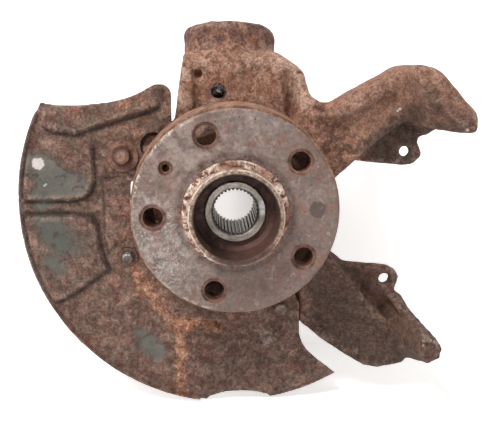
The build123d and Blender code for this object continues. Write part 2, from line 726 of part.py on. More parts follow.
# ---------------------------------------------------------------- splash shield
# pressed sheet: the rim, pads and beads stand out on the wheel side and are hollow behind
with BuildPart() as shield:
    with BuildSketch(station(shield_front_y)) as sheet:
        with BuildLine():
            start = on_circle(shield_r, shield_start_angle)
            finish = on_circle(shield_r, shield_end_angle)
            middle = on_circle(shield_r, (shield_start_angle + shield_end_angle) / 2)
            ThreePointArc(start, middle, finish)
            Spline(finish, (58.5, -109.5), (47.5, -98), (44, -88))
            Line((44, -88), (44, -68))
            Line((44, -68), (41.4, -63.5))
            Line((41.4, -63.5), (41.4, -47))
            Line((41.4, -47), (30, -35))
            Line((30, -35), (0, 0))
            Line((0, 0), (-38.9, 40))
            Line((-38.9, 40), (-38.9, 71))
            Spline((-38.9, 71), (-41.5, 75.3), (-46, 76.8), (-56.2, 72.8), (-86.5, 64.7), start)
        make_face()
        Circle(shield_inner_r, mode=Mode.SUBTRACT)
        # relief for the ball joint, and the notch and slit by the flange
        with Locations(joint_relief):
            Ellipse(*joint_relief_size, mode=Mode.SUBTRACT)
        with Locations(flange_notch):
            Circle(flange_notch_r, mode=Mode.SUBTRACT)
        with Locations(edge_slit):
            Rectangle(*edge_slit_size, mode=Mode.SUBTRACT)
    extrude(amount=-shield_t)
    # rolled rim
    with BuildSketch(station(shield_front_y - shield_rim_height)) as rim:
        Circle(shield_r)
        Circle(shield_r - shield_t, mode=Mode.SUBTRACT)
        with BuildLine():
            rim_reach = 2 * shield_r
            rim_middle_angle = (rim_start_angle + rim_end_angle) / 2
            Polyline((0, 0), on_circle(rim_reach, rim_start_angle), on_circle(rim_reach, rim_middle_angle),
                     on_circle(rim_reach, rim_end_angle), (0, 0))
        make_face(mode=Mode.INTERSECT)
    extrude(amount=-shield_rim_height)
    # pads with sloping sides, and the narrow beads
    for pad in shield_pads.values():
        with BuildSketch(station(shield_front_y)) as outer:
            Polygon(*pad, align=None)
            fillet(outer.vertices(), pad_corner_r / 2)
        extrude(amount=pad_height, taper=pad_slope)
        with BuildSketch(station(shield_back_y)) as inner:
            Polygon(*pad, align=None)
            fillet(inner.vertices(), pad_corner_r / 2)
            offset(amount=-shield_t / 2, mode=Mode.REPLACE)
        extrude(amount=pad_height, taper=pad_slope, mode=Mode.SUBTRACT)
    for route in shield_beads.values():
        with BuildSketch(station(shield_front_y)):
            with BuildLine():
                Polyline(*route)
            trace(line_width=bead_width)
        extrude(amount=bead_height, taper=20)
        with BuildSketch(station(shield_back_y)):
            with BuildLine():
                Polyline(*route)
            trace(line_width=bead_width - 1.5 * shield_t)
        extrude(amount=bead_height, taper=20, mode=Mode.SUBTRACT)
    for point in screw_points.values():
        with BuildSketch(station(shield_front_y)):
            with Locations(point):
                Circle(screw_hole_r)
        extrude(amount=-shield_t, mode=Mode.SUBTRACT)
save(shield.part, "splash_shield")

# ---------------------------------------------------------------- shield screws
# the upper one is a round socket head on a wide washer, the other two are flanged hexagons
for name, (x, z) in screw_points.items():
    is_round = name == "upper"
    with BuildPart() as screw:
        with BuildSketch(station(shield_front_y)):
            with Locations((x, z)):
                Circle(round_screw_washer_r if is_round else screw_flange_r)
        extrude(amount=screw_flange_t)
        with BuildSketch(station(shield_front_y - screw_flange_t)):
            with Locations((x, z)):
                if is_round:
                    Circle(round_screw_head_r)
                else:
                    RegularPolygon(screw_hex / 2, 6, major_radius=False)
        extrude(amount=screw_head_t)
        chamfer(screw.edges().group_by(Axis.Y)[0], 1.0 if is_round else 0.5)
        if is_round:
            with BuildSketch(station(shield_front_y - screw_flange_t - screw_head_t)):
                with Locations((x, z)):
                    Circle(round_screw_socket_r)
            extrude(amount=-screw_head_t / 2, mode=Mode.SUBTRACT)
        with BuildSketch(station(shield_front_y)):
            with Locations((x, z)):
                Circle(screw_r)
        extrude(amount=-screw_length)
    save(screw.part, f"shield_screw_{name}")

# ---------------------------------------------------------------- speed sensor and its screw
with BuildPart() as sensor:
    with BuildSketch(sensor_plane):
        Circle(sensor_nose_r)
    extrude(amount=sensor_nose_length)
    with BuildSketch(sensor_plane.offset(sensor_nose_length)):
        Circle(sensor_body_r)
    extrude(amount=sensor_seat - sensor_nose_length)
    with BuildSketch(sensor_plane.offset(sensor_seat)):
        Circle(sensor_flange_r)
        with Locations((sensor_screw_offset, 0)):
            Circle(sensor_flange_r - 2)
        make_hull()
        with Locations((sensor_screw_offset, 0)):
            Circle(screw_hole_r, mode=Mode.SUBTRACT)
    extrude(amount=sensor_flange_t)
    with BuildSketch(sensor_plane.offset(sensor_seat + sensor_flange_t)):
        RectangleRounded(12, 10, 2)
        RectangleRounded(9, 7, 1, mode=Mode.SUBTRACT)
    extrude(amount=sensor_socket_length)
save(sensor.part, "speed_sensor")

with BuildPart() as sensor_screw:
    head_plane = sensor_plane.offset(sensor_seat + sensor_flange_t)
    with BuildSketch(head_plane):
        with Locations((sensor_screw_offset, 0)):
            Circle(screw_r + 2.0)
    extrude(amount=screw_r * 2)
    with BuildSketch(head_plane.offset(screw_r * 2)):
        with Locations((sensor_screw_offset, 0)):
            RegularPolygon(2.5, 6, major_radius=False)
    extrude(amount=-3, mode=Mode.SUBTRACT)
    with BuildSketch(head_plane):
        with Locations((sensor_screw_offset, 0)):
            Circle(screw_r)
    extrude(amount=-(screw_length + sensor_flange_t - 1))
save(sensor_screw.part, "speed_sensor_screw")
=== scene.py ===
# Steering knuckle with wheel hub, bearing and splash shield: rust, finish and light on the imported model.
import bpy
import bmesh
import math
import numpy as np
from functools import partial
from mathutils import Matrix, Vector


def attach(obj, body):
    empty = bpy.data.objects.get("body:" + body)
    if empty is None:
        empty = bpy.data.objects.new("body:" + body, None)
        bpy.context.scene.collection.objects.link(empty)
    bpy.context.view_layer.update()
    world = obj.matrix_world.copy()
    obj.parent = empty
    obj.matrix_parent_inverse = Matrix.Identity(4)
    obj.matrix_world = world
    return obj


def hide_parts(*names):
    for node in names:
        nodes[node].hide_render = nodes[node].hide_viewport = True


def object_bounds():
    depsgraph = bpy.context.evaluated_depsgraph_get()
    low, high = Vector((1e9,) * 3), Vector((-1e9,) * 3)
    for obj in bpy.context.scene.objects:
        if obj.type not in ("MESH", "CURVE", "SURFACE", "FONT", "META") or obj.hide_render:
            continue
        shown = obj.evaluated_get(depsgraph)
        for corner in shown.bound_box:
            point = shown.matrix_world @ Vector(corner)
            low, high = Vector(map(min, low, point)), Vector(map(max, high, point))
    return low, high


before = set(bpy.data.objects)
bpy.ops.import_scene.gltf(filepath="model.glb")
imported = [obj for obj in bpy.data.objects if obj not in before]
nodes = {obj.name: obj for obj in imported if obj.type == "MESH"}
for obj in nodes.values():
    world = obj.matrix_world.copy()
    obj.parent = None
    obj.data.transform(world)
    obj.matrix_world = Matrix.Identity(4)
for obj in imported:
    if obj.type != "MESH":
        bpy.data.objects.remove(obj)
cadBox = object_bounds()
scene = bpy.context.scene
mm = 0.001


def addObject(name, data):
    obj = bpy.data.objects.new(name, data)
    scene.collection.objects.link(obj)
    return obj


print("stage: camera")
cameraSetup = {
    "place": (-14.35, -411.22, 78.56),     # mm, as are lens, sensor and clip
    "aim": (0.0547, 0.9791, -0.1959),
    "lens": 50.0,
    "sensor": 36.0,
    "clip": 10.0,
}
cameraData = bpy.data.cameras.new("camera")
cameraData.lens = cameraSetup["lens"]
cameraData.sensor_width = cameraSetup["sensor"]
cameraData.clip_start = cameraSetup["clip"] * mm
scene.camera = addObject("camera", cameraData)
scene.camera.location = Vector(cameraSetup["place"]) * mm
scene.camera.rotation_euler = Vector(cameraSetup["aim"]).to_track_quat("-Z", "Y").to_euler()


def linearColour(hexCode):
    # sRGB hex to the linear values that Blender wants
    parts = [int(hexCode[i:i + 2], 16) / 255 for i in (1, 3, 5)]
    return tuple(c / 12.92 if c <= 0.04045 else ((c + 0.055) / 1.055) ** 2.4 for c in parts) + (1.0,)


def addNode(tree, kind, settings=None, links=None):
    # adds a node, a shader's unless its kind says Node, and hands back its outputs; settings may be its
    # operation alone, and links are sockets or plain values by input name or number
    node = tree.nodes.new(kind if "Node" in kind else "ShaderNode" + kind)
    if isinstance(settings, str):
        settings = {"operation": settings}
    for key, value in (settings or {}).items():
        setattr(node, key, value)
    for key, value in (links or {}).items():
        if isinstance(value, bpy.types.NodeSocket):
            tree.links.new(value, node.inputs[key])
        else:
            node.inputs[key].default_value = value
    return node.outputs


def newMaterial(name):
    material = bpy.data.materials.new(name)
    material.use_nodes = True
    material.node_tree.nodes.clear()
    return material, material.node_tree


def onCircle(radius, angle):
    # (x, z) about the hub axis, for an angle in degrees from +x towards +z
    return radius * math.cos(math.radians(angle)), radius * math.sin(math.radians(angle))


def sameSize(radius, soft, *places):
    # patches of one size at several (x, z)
    return [(x, z, radius, soft) for x, z in places]


class Layers:
    # colour and relief of one material, built up layer by layer

    def __init__(self, name, patches=None):
        self.material, self.tree = newMaterial(name)
        self.add = partial(addNode, self.tree)
        self.patches = patches
        self.place = self.add("TexCoord")["Object"]
        self.colour = None
        self.height = 0.0

    def clouds(self, sizeMm, detail, roughness, distortion, seed):
        # cloud pattern whose patches are about sizeMm across, from 0 to 1 with 0.5 in the middle
        shifted = self.add("VectorMath", "ADD", {0: self.place, 1: (seed, seed * 0.7, seed * 1.3)})
        return self.add("TexNoise", links={
            "Vector": shifted[0], "Scale": 0.5 / (sizeMm * mm), "Detail": detail,
            "Roughness": roughness, "Distortion": distortion})["Fac"]

    def plates(self, sizeMm, raggedMm, seed):
        # ragged plates of lifted scale: one level for each plate, and how near its edge is
        drift = self.add("TexNoise", links={
            "Vector": self.place, "Scale": 1.1 / (sizeMm * mm), "Detail": 6, "Roughness": 0.72})
        drift = self.add("VectorMath", "SUBTRACT", {0: drift["Color"], 1: (0.5 - seed, 0.5, 0.5)})
        spread = 4 * raggedMm * mm
        moved = self.add("VectorMath", "MULTIPLY_ADD", {
            0: drift[0], 1: (spread, spread, spread), 2: self.place})
        cells, borders = [self.add("TexVoronoi", {"feature": feature}, {
            "Vector": moved[0], "Scale": 1 / (sizeMm * mm)}) for feature in ("F1", "DISTANCE_TO_EDGE")]
        level = self.add("SeparateColor", links={"Color": cells["Color"]})
        return level[0], borders["Distance"]

    def marked(self, name):
        # a value that the mesh carries
        return self.add("Attribute", {"attribute_name": name})["Fac"]

    def axis(self, index):
        # one coordinate in mm
        parts = self.add("SeparateXYZ", links={0: self.place})
        return self.both(parts[index], 1 / mm)

    def radius(self):
        # distance from the hub axis in mm
        flat = self.add("VectorMath", "MULTIPLY", {0: self.place, 1: (1 / mm, 0, 1 / mm)})
        return self.add("VectorMath", "LENGTH", {0: flat[0]})["Value"]

    def front(self):
        # 1 on the side that faces the wheel
        normal = self.add("TexCoord")["Normal"]
        return self.fade(self.add("SeparateXYZ", links={0: normal})[1], -0.1, -0.4)

    def mask(self, given):
        # a mask in short: patches by name, with their wobble, or a pattern and the levels of its fade
        if isinstance(given, str):
            return self.blobs(given)
        if isinstance(given, tuple):
            return self.blobs(*given) if isinstance(given[0], str) else self.fade(*given)
        return given

    def both(self, *masks):
        # where every mask is, or a mask made weaker by a number
        total = self.mask(masks[0])
        for other in masks[1:]:
            total = self.add("Math", "MULTIPLY", {0: total, 1: self.mask(other)})[0]
        return total

    def either(self, *masks):
        # where at least one mask is
        total = masks[0]
        for other in masks[1:]:
            total = self.add("Math", "MAXIMUM", {0: total, 1: other})[0]
        return total

    def plus(self, base, value, factor):
        # base and factor times value, each a pattern or a number
        return self.add("Math", "MULTIPLY_ADD", {0: value, 1: factor, 2: base})[0]

    def less(self, mask, amount=1.0):
        # 1, and lower by this amount where the mask is
        return self.plus(1.0, self.mask(mask), -amount)

    def sway(self, base, pattern, amount):
        # base made ragged by a pattern, whose middle leaves it as it is
        return self.plus(base, self.plus(-0.5, pattern, 1.0), amount)

    def fade(self, value, low, high, toLow=0.0, toHigh=1.0):
        # smooth step from toLow at low to toHigh at high
        return self.add("MapRange", {"interpolation_type": "SMOOTHSTEP"}, {
            "Value": value, "From Min": low, "From Max": high, "To Min": toLow, "To Max": toHigh})[0]

    def blobs(self, patches, wobble=None, depth=0.0):
        # mask of round patches, each (x, z, radius, softness) in mm; depth is the share of y that counts
        squeezed = self.add("VectorMath", "MULTIPLY", {0: self.place, 1: (1 / mm, depth / mm, 1 / mm)})[0]
        masks = []
        for x, z, radius, soft in self.patches[patches] if isinstance(patches, str) else patches:
            reach = self.add("VectorMath", "DISTANCE", {0: squeezed, 1: (x, 0, z)})["Value"]
            if wobble is not None:
                reach = self.sway(reach, wobble, 1.6 * radius)
            masks.append(self.fade(reach, radius + soft, radius - soft))
        return self.either(*masks)

    def colours(self, pattern, stops):
        # colours along a pattern, {level: hex}
        colour = self.add("ValToRGB", links={"Fac": pattern})[0]
        elements = colour.node.color_ramp.elements
        while len(elements) < len(stops):
            elements.new(0.5)
        for element, (level, hexCode) in zip(elements, stops.items()):
            element.position = level
            element.color = linearColour(hexCode)
        return colour

    def paint(self, colour, amount=1.0, *masks):
        # lays a colour, or (pattern, {level: hex}), where all the masks are; the first one is the ground coat
        if isinstance(colour, str):
            colour = linearColour(colour)
        elif isinstance(colour, tuple):
            colour = self.colours(*colour)
        if self.colour is not None:
            colour = self.add("MixRGB", {"blend_type": "MIX"}, {
                "Fac": self.both(*masks, amount), "Color1": self.colour, "Color2": colour})[0]
        self.colour = colour

    def shade(self, value, low, high, dark, light):
        # multiplies the colour by a grey that goes from dark at low to light at high
        self.colour = self.add("MixRGB", {"blend_type": "MULTIPLY"}, {
            "Fac": 1.0, "Color1": self.colour, "Color2": self.fade(value, low, high, dark, light)})[0]

    def tone(self, level, *masks):
        # multiplies the colour by level where all the masks are
        self.shade(self.both(*masks), 0.0, 1.0, 1.0, level)

    def relief(self, heightMm, *patterns):
        # adds relief, heightMm high where all the patterns are 1
        self.height = self.plus(self.height, self.both(*patterns), heightMm)

    def finish(self, roughness, metallic=0.0):
        bump = self.add("Bump", links={"Height": self.height, "Distance": mm, "Strength": 1.0})[0]
        shader = self.add("BsdfPrincipled", links={
            "Base Color": self.colour, "Roughness": roughness, "Metallic": metallic, "Normal": bump})
        self.add("OutputMaterial", links={"Surface": shader[0]})
        return self.material


print("stage: rusted surfaces")


def rustSkinTree():
    # lifts and sinks a surface along its normals in two sizes of lump, and leaves bores alone
    tree = bpy.data.node_groups.new("rust skin", "GeometryNodeTree")
    sockets = {"Surface": "Geometry", "lump height": "Float", "lump size": "Float", "scale height": "Float",
               "scale size": "Float", "bore radius": "Float", "seed": "Int", "finish": "Material"}
    for name, kind in sockets.items():
        tree.interface.new_socket(name, in_out="INPUT", socket_type="NodeSocket" + kind)
    tree.interface.new_socket("Surface", in_out="OUTPUT", socket_type="NodeSocketGeometry")
    add = partial(addNode, tree)
    start = add("NodeGroupInput")
    position = add("GeometryNodeInputPosition")[0]
    normal = add("GeometryNodeInputNormal")[0]
    total = 0.0
    for kind, shift in (("lump", 0.0), ("scale", 37.0)):
        scale = add("Math", "DIVIDE", {0: 0.5, 1: start[kind + " size"]})[0]
        offset = add("Math", "ADD", {0: start["seed"], 1: shift})[0]
        noise = add("TexNoise", {"noise_dimensions": "4D"}, {
            "Vector": position, "W": offset, "Scale": scale, "Detail": 3.0, "Roughness": 0.55})["Fac"]
        centred = add("Math", "SUBTRACT", {0: noise, 1: 0.5})[0]
        height = add("Math", "MULTIPLY", {0: centred, 1: start[kind + " height"]})[0]
        total = add("Math", "MULTIPLY_ADD", {0: height, 1: 2.0, 2: total})[0]
    flat = add("VectorMath", "MULTIPLY", {0: position, 1: (1, 0, 1)})[0]
    reach = add("VectorMath", "LENGTH", {0: flat})["Value"]
    clear = add("Math", "GREATER_THAN", {0: reach, 1: start["bore radius"]})[0]
    masked = add("Math", "MULTIPLY", {0: total, 1: clear})[0]
    along = add("VectorMath", "SCALE", {0: normal, "Scale": masked})[0]
    moved = add("GeometryNodeSetPosition", links={"Geometry": start["Surface"], "Offset": along})
    real = add("GeometryNodeRealizeInstances", links={"Geometry": moved[0]})
    dressed = add("GeometryNodeSetMaterial", links={"Geometry": real[0], "Material": start["finish"]})
    add("NodeGroupOutput", links={0: dressed[0]})
    return tree


rustSkin = rustSkinTree()


def setInputs(modifier, values):
    # a modifier's inputs by name, written to the sockets' identifiers
    for item in modifier.node_group.interface.items_tree:
        if item.item_type == "SOCKET" and item.in_out == "INPUT" and item.name in values:
            modifier[item.identifier] = values[item.name]


def plainMesh(obj):
    # the evaluated result as a plain mesh, with the modifiers gone
    bpy.context.view_layer.update()
    depsgraph = bpy.context.evaluated_depsgraph_get()
    mesh = bpy.data.meshes.new_from_object(obj.evaluated_get(depsgraph), preserve_all_data_layers=True,
                                           depsgraph=depsgraph)
    obj.modifiers.clear()
    obj.data = mesh


def readPoints(mesh, kind="co"):
    # the vertices' places or normals, one row each
    values = np.empty(len(mesh.vertices) * 3, np.float32)
    mesh.vertices.foreach_get(kind, values)
    return values.reshape(-1, 3)


def writePoints(mesh, place):
    mesh.vertices.foreach_set("co", place.astype(np.float32).ravel())


def writeMark(mesh, name, value):
    # a value for each vertex, which a material can read
    mesh.attributes.new(name, "FLOAT", "POINT").data.foreach_set("value", value.astype(np.float32))


def markHollows(mesh, passes):
    # "hollow": 0.5 on a flat, up to 1 in a hollow and down to 0 on an edge, evened out in passes
    place, normal = readPoints(mesh), readPoints(mesh, "normal")
    ends = np.empty(len(mesh.edges) * 2, np.int32)
    mesh.edges.foreach_get("vertices", ends)
    a, b = ends[0::2], ends[1::2]
    gap = place[b] - place[a]
    length = np.linalg.norm(gap, axis=1) + 1e-9
    bend, valence = np.zeros((2, len(place)))
    for here, sign in ((a, 1), (b, -1)):
        np.add.at(bend, here, sign * (normal[here] * gap).sum(1) / length)
        np.add.at(valence, here, 1)
    valence = np.maximum(valence, 1)
    bend = bend / valence
    for _ in range(passes):
        around = np.zeros(len(place))
        np.add.at(around, a, bend[b])
        np.add.at(around, b, bend[a])
        bend = 0.5 * bend + 0.5 * around / valence
    gain = 4.0
    writeMark(mesh, "hollow", np.clip(0.5 + bend * gain, 0, 1))


def addPlug(work, centre, radius, ends):
    # closed cylinder along y at (x, z), between two depths, all in mm
    tilt = Vector((0, 1, 0)).to_track_quat("Z", "Y").to_matrix().to_4x4()
    middle = Vector((centre[0], sum(ends) / 2, centre[1])) * mm
    made = bmesh.ops.create_cone(work, cap_ends=True, segments=24, radius1=radius * mm, radius2=radius * mm,
                                 depth=(ends[1] - ends[0]) * mm)
    bmesh.ops.transform(work, matrix=Matrix.Translation(middle) @ tilt, verts=made["verts"])


def addSector(work, radii, angles, ends, steps=24):
    # closed flat piece of a ring about the hub axis
    rings = []
    for i in range(steps + 1):
        angle = angles[0] + (angles[1] - angles[0]) * i / steps
        corners = [(*onCircle(radii[r], angle), ends[e]) for r, e in ((0, 0), (1, 0), (1, 1), (0, 1))]
        rings.append([work.verts.new((x * mm, y * mm, z * mm)) for x, z, y in corners])
    for one, two in zip(rings, rings[1:]):
        for k in range(4):
            work.faces.new((one[k], one[(k + 1) % 4], two[(k + 1) % 4], two[k]))
    work.faces.new(rings[0][::-1])
    work.faces.new(rings[-1])


def segmentDistance(points, a, b):
    # distance from an array of (x, z) points to the straight line between two places
    run = b - a
    share = np.clip(((points - a) @ run) / (run @ run), 0, 1)
    return np.linalg.norm(points - (a + share[:, None] * run), axis=1)


def routeDistance(points, *routes):
    # distance to the nearest of some open lines through the given corners
    return np.min([segmentDistance(points, np.array(a, float), np.array(b, float))
                   for route in routes for a, b in zip(route[:-1], route[1:])], axis=0)


def insideDistance(points, corners):
    # distance in from the edge of a polygon, negative outside
    inside = np.zeros(len(points), bool)
    for a, b in zip(corners, corners[1:] + corners[:1]):
        crosses = (a[1] > points[:, 1]) != (b[1] > points[:, 1])
        rise = b[1] - a[1] or 1e-9
        inside ^= crosses & (points[:, 0] < (b[0] - a[0]) * (points[:, 1] - a[1]) / rise + a[0])
    nearest = routeDistance(points, corners + corners[:1])
    return np.where(inside, nearest, -nearest)


def smoothStep(value):
    value = np.clip(value, 0, 1)
    return value * value * (3 - 2 * value)


def mergedCopy(nodeName, setup):
    # a node's mesh with its doubles merged and the setup's closed extras added
    mesh = nodes[nodeName].data.copy()
    mesh.materials.clear()
    work = bmesh.new()
    work.from_mesh(mesh)
    bmesh.ops.remove_doubles(work, verts=work.verts, dist=2e-6)
    for plug in setup.get("plugs", ()):
        addPlug(work, *plug)
    for sector in setup.get("sectors", ()):
        addSector(work, *sector)
    bmesh.ops.recalc_face_normals(work, faces=work.faces)
    work.to_mesh(mesh)
    work.free()
    return mesh


def standIn(piece, nodeName, body):
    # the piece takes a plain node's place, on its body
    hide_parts(nodeName)
    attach(piece, body)


def addRounding(piece, name, iterations, weight):
    # smooths a piece, and only in part where a weight between 0 and 1 is given
    rounding = piece.modifiers.new(name, "SMOOTH")
    rounding.factor = 0.5
    rounding.iterations = iterations
    if weight is None:
        return
    group = piece.vertex_groups.new(name=name)
    levels = np.round(weight(readPoints(piece.data) / mm) * 8).astype(int)
    for level in range(1, 9):
        chosen = np.nonzero(levels == level)[0].tolist()
        if chosen:
            group.add(chosen, level / 8, "REPLACE")
    rounding.vertex_group = name


def rustedCopy(nodeName, pieceName, setup, finish):
    # a rounded, rusted skin in place of one plain node of the knuckle
    piece = addObject(pieceName, mergedCopy(nodeName, setup))
    remesh = piece.modifiers.new("remesh", "REMESH")
    remesh.mode = "VOXEL"
    remesh.voxel_size = setup["voxel"] * mm
    plainMesh(piece)
    place, marks = setup["shape"](readPoints(piece.data) / mm)
    writePoints(piece.data, place * mm)
    for name, value in marks.items():
        writeMark(piece.data, name, value)
    for name, iterations, weight in setup["rounding"]:
        addRounding(piece, name, iterations, weight)
    skin = piece.modifiers.new("rust skin", "NODES")
    skin.node_group = rustSkin
    setInputs(skin, {"lump height": setup["lump"][0] * mm, "lump size": setup["lump"][1] * mm,
                     "scale height": setup["scale"][0] * mm, "scale size": setup["scale"][1] * mm,
                     "bore radius": setup.get("bore", 0.0) * mm, "seed": setup["seed"], "finish": finish})
    plainMesh(piece)
    piece.vertex_groups.clear()
    margin = 0.01 * mm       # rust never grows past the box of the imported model
    lowest, highest = (np.array(corner) for corner in cadBox)
    writePoints(piece.data, np.clip(readPoints(piece.data), lowest + margin, highest - margin))
    markHollows(piece.data, setup["hollowPasses"])
    piece.data.shade_smooth()
    standIn(piece, nodeName, "knuckle")
    print("  ", pieceName, sum(len(p.vertices) - 2 for p in piece.data.polygons), "triangles")


castingPatches = {       # (x, z, radius, softness) in mm
    "arm": [(86, 58, 20, 14), (108, 72, 22, 12), (132, 68, 20, 12)],
    "under hook": [(137, 52, 13, 7), (124, 57, 9, 7), (146, 60, 10, 7)],
    "valley": [(115.4, 70, 4.5, 4), (116.2, 62.2, 6, 4), (111, 57.5, 6, 4), (102.5, 54.6, 4, 4)],
    "hook face": [(130, 64, 14, 9)],
    "trough": sameSize(2, 4, (72.2, 54.9), (83.2, 60.9), (94.1, 66.9), (104.4, 72.9), (112.3, 77.1)),
    "arm rib": sameSize(2, 3, (60.2, 64.2), (72.2, 68.9), (84.1, 75.4), (96, 81.3))
               + sameSize(3, 4, (104.9, 84.4), (114, 84)),
    "arm root": [(62, 40, 12, 8), (76, 32, 12, 8), (55, 58, 6, 5)],
    "greasy": [(92, -82, 54, 14), (130, 44, 13, 8), (108, 30, 22, 6), (62, -50, 24, 10)],
    "brown": [(122, -88, 14, 10), (104, -56, 16, 8), (70, -46, 12, 8)],
    "bloom": [(2, 91, 30, 8), (34, 78, 18, 8), (-28, 66, 14, 8), (52, 40, 22, 12), (60, -26, 12, 8),
              (-10, 66, 10, 5), (96, -72, 14, 8)],
    "fresh": [(-20, 92, 12, 5), (0, 92, 12, 4), (22, 92, 12, 5), (46, 74, 8, 5), (48, 66, 6, 5),
              (-33, 84, 5, 6), (-34, 60, 4, 8)],
    "ribs": [(32, 90, 6, 4), (40, 80, 7, 4), (44, 69, 6, 4), (-31, 82, 4, 3), (-33, 68, 4, 4)],
    "crest": sameSize(1.6, 2.2, (79.4, -52.6), (83, -57.2), (86.6, -61.6), (90.4, -66.2))
             + [(94.2, -71, 1.8, 2.2)] + sameSize(2, 2.2, (97.6, -75.2), (101, -79.2)),
    "crest edge": sameSize(0.9, 0.9, (93.8, -68.7), (95.8, -71.5), (98, -75)),
    "tip front": [(110.2, -79.5, 7, 2), (116, -84, 4, 1.5)],
    "tip side": [(98, -63, 5, 3), (104, -70, 4, 2.5)],
    "tip edge": sameSize(0.9, 0.8, (117.6, -78.6), (119.6, -79.7), (121.6, -80.8), (123.6, -81.8),
                         (125.5, -82.8)) + sameSize(0.8, 0.8, (117, -81), (116.8, -84)),
    "abutment": sameSize(1.6, 1.2, (104.4, -61.5), (107.1, -64.4), (109.8, -67.3), (113.1, -70.8),
                         (116.4, -74.3), (119, -77)),
    "abutment foot": sameSize(1.2, 2.2, (106.8, -71.8), (104.4, -75.4), (102, -79), (99.6, -82.8),
                              (97.2, -86.4)),
    "tip dent": [(118.8, -83, 1.3, 0.6)],
    "notch": [(-53.5, 40, 9.5, 1)],
    "beside notch": [(-50.2, 36.6, 7.4, 1)],
    "chips": [(105.8, 61, 0.9, 0.4), (104.6, 59.8, 0.6, 0.3), (137.3, 50, 0.7, 0.4)],
}


def castingFinish():
    # sand-cast iron that has rusted through its skin: brown crust, orange bloom, pale powder on the edges,
    # dark brown low down, nearly black painted shade in the notch, and painted highlights on ribs and edges
    skin = Layers("sand-cast iron, heavily rusted", castingPatches)
    paint, tone, shade, relief = skin.paint, skin.tone, skin.shade, skin.relief
    hollow = skin.marked("hollow")
    wide = skin.clouds(20, 4, 0.55, 0.3, 1)
    patch = skin.clouds(7, 5, 0.65, 0.3, 2)
    crust = skin.clouds(2.3, 6, 0.72, 0.3, 3)
    grit = skin.clouds(0.75, 4, 0.75, 0, 4)
    hue = skin.clouds(3.5, 5, 0.7, 0.5, 5)
    paint((crust, {0.32: "#70493a", 0.43: "#9a6e59", 0.51: "#b0806a", 0.6: "#be9079", 0.74: "#dab49c"}))
    paint("#84523f", 0.45, (hue, 0.49, 0.58))
    paint("#8a7a69", 0.4, (wide, 0.48, 0.4), (hue, 0.5, 0.42))
    # strut clamp: dark red-brown band
    paint((crust, {0.35: "#4f332d", 0.45: "#6c4940", 0.54: "#7f5a4f", 0.68: "#a67d6c"}), 0.88,
          (skin.axis(2), 97, 104))
    # the arm between the column and the hook has a fine, even, greyer crust
    arm = skin.blobs("arm", wide)
    paint((crust, {0.34: "#855f4d", 0.46: "#98705c", 0.55: "#a57e6a", 0.68: "#b38f7d",
                   0.8: "#c8ab9a"}), 0.82, arm)
    # painted shade under the hook and in the hollows that lead there, and a painted highlight on its rib
    tone(0.6, ("under hook", wide, 0.4))
    for name, level in (("valley", 0.5), ("hook face", 0.9), ("trough", 0.72), ("arm rib", 1.2)):
        tone(level, name)
    # darker crust at the root of the arm
    paint("#4b3630", 0.6, ("arm root", patch), (hue, 0.46, 0.54))
    # the arms under the disc, the ears and the abutments are dark: a dark brown crust on the lower arm,
    # and painted shade on the ear behind the upper arm and under the hook
    greasy = skin.blobs("greasy", wide)
    paint((crust, {0.34: "#49362e", 0.45: "#59453b", 0.55: "#655046", 0.66: "#755f54",
                   0.76: "#9a8273"}), 0.95, greasy)
    paint("#4e4a40", 0.3, greasy, (patch, 0.52, 0.6))
    paint("#7b584d", 0.6, "brown", (hue, 0.45, 0.54))
    # orange bloom
    bloom = skin.clouds(5, 6, 0.75, 0.5, 7)
    paint("#b97f5c", 0.42, (bloom, 0.5, 0.6), "bloom")
    # painted highlight: a light band under the clamp and on the ribs, where the crust stands out
    paint("#cba48e", 0.6, ("fresh", patch), (crust, 0.44, 0.56))
    # pale powder on edges
    paint("#b89a8a", 0.6, (hollow, 0.44, 0.2), (crust, 0.44, 0.58), skin.less(greasy, 0.5))
    # painted highlights where the crust stands out: ribs, crest of the lower arm, its tip's edge and abutment
    # the tip's front and side are toned brown
    rubbed = [
        ("ribs", "#e2bba5", 0.8, patch, 0.34, 0.52),
        ("crest", "#b08a74", 0.85, patch, 0.36, 0.48),
        ("crest edge", "#b4886f", 0.8, None, 0.34, 0.46),
        ("tip front", "#83604f", 0.5, wide, 0.36, 0.5),
        ("tip side", "#8a6658", 0.55, wide, 0.36, 0.5),
        ("tip edge", "#cbb4a6", 0.8, None, 0.34, 0.46),
        ("abutment", "#a08a7d", 0.6, patch, 0.38, 0.52),
    ]
    for name, colour, amount, wobble, low, high in rubbed:
        paint(colour, amount, (name, wobble), (crust, low, high))
    # painted shade in the groove at the abutment's foot and in the dent at the tip
    tone(0.62, "abutment foot")
    paint("#2a1f1b", 0.7, "tip dent")
    # painted light behind the flange, seen through the bolt holes, and painted shade in the notch beside it
    paint("#eac3aa", 0.85, (skin.radius(), 60, 56), (skin.axis(1), 50, 46))
    paint("#261b17", 0.9, "notch", skin.less("beside notch"))
    # painted shade in the hollows
    shade(hollow, 0.55, 0.92, 1, 0.72)
    level, edge = skin.plates(4, 1.6, 0.2)
    shade(level, 0, 1, 0.91, 1.07)
    shade(edge, 0, 0.09, 0.84, 1)
    shade(patch, 0.4, 0.6, 0.92, 1.08)
    shade(grit, 0.4, 0.58, 0.68, 1.26)
    # a few chips of white
    paint("#e8e0d8", 0.9, ("chips", grit))
    calm = skin.less(arm, 0.5)
    relief(2.4, patch, calm)
    relief(2.6, crust, calm)
    relief(0.3, level)
    relief(1, grit)
    return skin.finish(0.88)


def within(place, *limits):
    # 1 where each limit is met: (axis, where its smooth step begins, where it is full) in mm
    return np.prod([smoothStep((place[:, "xyz".index(axis)] - begin) / (full - begin))
                    for axis, begin, full in limits], axis=0)


def besideTip(place):
    # 1 all over but for the lower arm's abutment, whose facets stay sharp
    return 1 - 0.85 * within(place, ("x", 98, 104), ("z", -54, -60))


